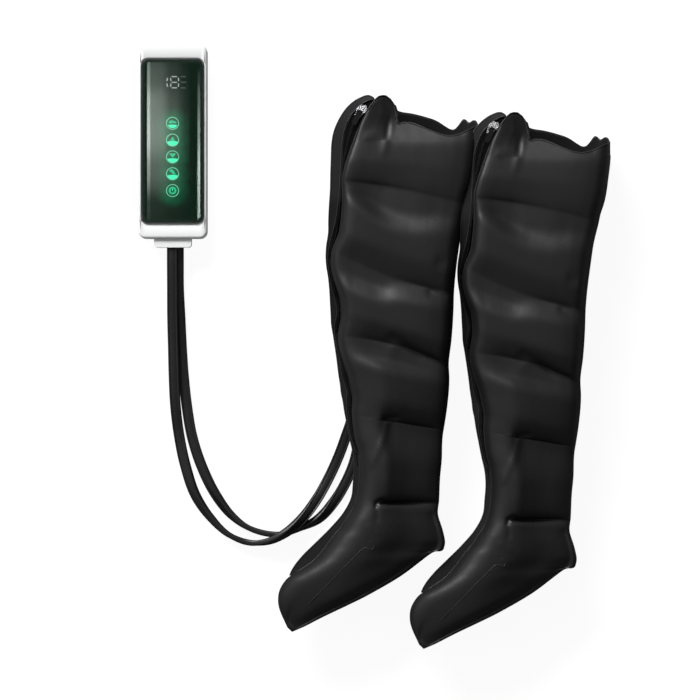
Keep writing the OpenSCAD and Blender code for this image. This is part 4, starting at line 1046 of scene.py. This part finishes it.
foot_weld = on_skin([
    (-46.5, 28.5), (-41, 25), (-39, 20.1), (-42, 16.5), (-48, 18), (-54, 18), (-62, 11), (-75, -2),
    (-89, -16), (-103, -31), (-117, -45), (-129, -57), (-141, -69)])
# The hem cloth is paler than the panels': a painted highlight that stands in for the light line along the
# cords
hem_cloth_painted_paler = plastic("hem_cloth_with_painted_highlight", (0.02, 0.02, 0.02), 0.45, tint=0.25)
hem_points, hem_faces = joined([
    thick_line(near_hem, 0.8), thick_line(near_rim, 0.9, steps=2), thick_line(far_hem, 0.7),
    thick_line(far_edge, 0.9), thick_line(foot_weld, 0.6)])
for side, place_on_floor in boot_places.items():
    hem = piece_from(side + "_hems", traced(hem_points, place_on_floor), hem_faces, hem_cloth_painted_paler)
    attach(hem, "boots")


# Flap. The far panel reaches out past the zipper as a flat welded edge, bends
# round the corner of the mouth, and runs down as a seam over the instep.
def strip(rows, thick, across=6):
    """A closed thin strip: rows of two edge points, each with its own height."""
    rings = []
    for outer, inner in rows:
        shares = np.linspace(0, 1, across)[:, None]
        top = outer + (inner - outer) * shares
        rings.append(np.concatenate([top, top[::-1] - [0, 0, thick]]))
    return skin_of(rings)


def finer(columns, steps=4):
    """Smooth rows between the given rows of numbers."""
    columns = np.array(columns, float)
    knots = np.arange(len(columns))
    at = np.linspace(0, len(columns) - 1, (len(columns) - 1) * steps + 1)
    return np.stack([smooth_through(knots, column, at) for column in columns.T], axis=1)


flap_points, flap_faces = strip([(at_border(x0, y0, -1.6), at_border(x1 + 2.5, y1, 0.7))
                                 for x0, y0, x1, y1 in finer(flap_rows)], 1.0)
flap_cloth = plastic("dark_edge_cloth", (0.007, 0.007, 0.007), 0.55, tint=0.2, specular=0.2)
for side, place_on_floor in boot_places.items():
    flap = piece_from(side + "_flap", traced(flap_points, place_on_floor), flap_faces, flap_cloth)
    shade_by_angle(flap, 50)
    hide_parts(side + "_zip_flap")
    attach(flap, "boots")


# Zipper. A black woven tape lies under the hems and is welded to both panels'
# edges. A row of small moulded teeth runs along its middle.
corner_y, corner_x = [671, 692], [-51, -38]
teeth_low, teeth_high = 175, 655
gap_rows = []
for far_x, y in finer(flap_rows[:34], 3)[:, 2:]:
    near_x = float(border_x(front_border, y) if y < corner_y[0] else np.interp(y, corner_y, corner_x))
    gap_rows.append((min(far_x, near_x - 1), y, near_x))
tape_points, tape_faces = strip([(at_border(far_x - 1.5, y, -0.2), at_border(near_x + 6, y, -0.1))
                                 for far_x, y, near_x in gap_rows], 0.8)
tape_cloth = plastic("black_zipper_tape", (0.002, 0.002, 0.002), 0.9, tint=0.2, specular=0.1)
teeth_plastic = plastic("black_teeth", (0.004, 0.004, 0.004), 0.35, tint=0.1)


def repeat_along(name, path, unit_points, unit_faces, pitch, material):
    """Copies of a small piece along a path, placed by a node tree and made plain."""
    tree = bpy.data.node_groups.new(name + "_nodes", "GeometryNodeTree")
    tree.interface.new_socket("Path", in_out="INPUT", socket_type="NodeSocketGeometry")
    tree.interface.new_socket("Unit", in_out="INPUT", socket_type="NodeSocketObject")
    tree.interface.new_socket("Pitch", in_out="INPUT", socket_type="NodeSocketFloat")
    tree.interface.new_socket("Copies", in_out="OUTPUT", socket_type="NodeSocketGeometry")
    entry, leave = tree.nodes.new("NodeGroupInput"), tree.nodes.new("NodeGroupOutput")
    curve = add_node(tree, "GeometryNodeMeshToCurve", {"Mesh": entry.outputs["Path"]})
    even = add_node(tree, "GeometryNodeResampleCurve", {
        "Curve": curve.outputs["Curve"], "Length": entry.outputs["Pitch"]}, mode="LENGTH")
    tangent = add_node(tree, "GeometryNodeInputTangent").outputs["Tangent"]
    turned = add_node(tree, "FunctionNodeAlignRotationToVector", {"Vector": tangent}, axis="Y")
    copied = add_node(tree, "GeometryNodeObjectInfo", {"Object": entry.outputs["Unit"]})
    placed = add_node(tree, "GeometryNodeInstanceOnPoints", {
        "Points": even.outputs["Curve"], "Instance": copied.outputs["Geometry"],
        "Rotation": turned.outputs["Rotation"]})
    made = add_node(tree, "GeometryNodeRealizeInstances", {"Geometry": placed.outputs["Instances"]})
    dressed = add_node(tree, "GeometryNodeSetMaterial", {
        "Geometry": made.outputs["Geometry"], "Material": material})
    tree.links.new(dressed.outputs["Geometry"], leave.inputs[0])
    unit_piece = piece_from(name + "_unit", unit_points, unit_faces, material, smooth=False)
    carrier = bpy.data.meshes.new(name + "_path")
    carrier.from_pydata([tuple(p) for p in path], [(i, i + 1) for i in range(len(path) - 1)], [])
    holder = bpy.data.objects.new(name, carrier)
    scene.collection.objects.link(holder)
    nodes = holder.modifiers.new("copies", "NODES")
    nodes.node_group = tree
    sizes = {"Unit": unit_piece, "Pitch": pitch}
    for item in tree.interface.items_tree:
        if item.name in sizes:
            nodes[item.identifier] = sizes[item.name]
    apply_modifiers(holder)
    bpy.data.objects.remove(unit_piece)
    return holder


tooth_x, tooth_y, tooth_pitch = 1.9, 0.75, 2.6 * MM
tooth_corners = [(-tooth_x, -tooth_y), (tooth_x, -tooth_y), (tooth_x, tooth_y), (-tooth_x, tooth_y)]
tooth_points, tooth_faces = skin_of([[(x * k * MM, y * k * MM, z * MM) for x, y in tooth_corners]
                                     for z, k in ((-0.4, 0.9), (0, 1), (0.5, 1), (0.9, 0.7))])
teeth_path = [at_border(0.45 * far_x + 0.55 * near_x, y, 0.1) * MM
              for far_x, y, near_x in gap_rows if teeth_low < y < teeth_high]
teeth_row = repeat_along("teeth_row", teeth_path, tooth_points, tooth_faces, tooth_pitch, teeth_plastic)
teeth_points = np.array([tuple(v.co) for v in teeth_row.data.vertices]) / MM
teeth_faces = [tuple(face.vertices) for face in teeth_row.data.polygons]
bpy.data.objects.remove(teeth_row)
for side, place_on_floor in boot_places.items():
    tape = piece_from(side + "_tape", traced(tape_points, place_on_floor), tape_faces, tape_cloth)
    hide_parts(side + "_zipper_tape")
    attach(tape, "boots")
    teeth = piece_from(side + "_teeth", traced(teeth_points, place_on_floor), teeth_faces, teeth_plastic,
                       smooth=False)
    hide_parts(side + "_zipper_teeth")
    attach(teeth, "boots")


# Zip slider. A small cast body with dull nickel plating: a plate under the teeth
# and one over them, joined by a web, with two lugs on top that hold the pin of
# the rubber pull tab. It stands at the top of the zipper.
slider_metal = metal("nickel_plate", (0.4, 0.4, 0.41), 0.42)
tree, shader = slider_metal.node_tree, slider_metal.node_tree.nodes["Principled BSDF"]
grains = add_node(tree, "ShaderNodeTexVoronoi", {
    "Vector": add_node(tree, "ShaderNodeTexCoord").outputs["Object"], "Scale": 620.0})
feed(tree, shader, {"Normal": raised(tree, grains.outputs["Distance"], 0.9, 0.0011)})
pull_rubber = plastic("black_pull_rubber", (0.003, 0.003, 0.003), 0.6, tint=0.2, specular=0.2)


def prism(outline, levels):
    """A closed block over an outline; levels are (height, share of size) pairs."""
    outline = np.array(outline, float)
    centre = outline.mean(axis=0)
    return skin_of([np.column_stack([centre + (outline - centre) * k, np.full(len(outline), h)])
                    for h, k in levels])


zip_x, zip_y, zip_tilt, slider_along = -80.5, 630, math.radians(25.3), 38
low_plate = [(-5, 0), (5, 0), (5, 7.6), (6.5, 14.4), (4.5, 17), (-4.5, 17), (-6.5, 14.4), (-5, 7.6)]
top_plate = [(-4.6, 0), (4.6, 0), (5.4, 7), (8.2, 11.5), (8.8, 17.5), (6, 22), (-1.5, 20.5), (-6.2, 15),
             (-5.2, 7)]
web = [(2.9, 9), (3.5, 9), (3.5, 14), (2.9, 14)]
lugs = [[(x - 0.6, 6.8), (x + 0.6, 6.8), (x + 0.6, 10.2), (x - 0.6, 10.2)] for x in (-4.9, 4.9)]
slider_points, slider_faces = joined([
    prism(low_plate, [(-3.2, 0.96), (-2.8, 1), (-1.7, 1), (-1.3, 0.96)]),
    prism(top_plate, [(3.3, 0.96), (3.7, 1), (4.6, 1), (5.2, 0.9)]), prism(web, [(-3.1, 1), (4.6, 1)]),
    *(prism(lug, [(4.6, 1), (7.9, 1), (8.2, 0.7)]) for lug in lugs)])
x, y, z = (slider_points + [0, slider_along, 0]).T
slider_points = np.column_stack([
    zip_x + x * math.cos(zip_tilt) + y * math.sin(zip_tilt),
    zip_y - x * math.sin(zip_tilt) + y * math.cos(zip_tilt), mid_z + front_rise + z])
for side, place_on_floor in boot_places.items():
    slider = piece_from(side + "_slider_body", traced(slider_points, place_on_floor), slider_faces,
                        slider_metal, smooth=False)
    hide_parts(side + "_zip_slider")
    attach(slider, side + "_slider")
    dress(side + "_pull_tab", pull_rubber)
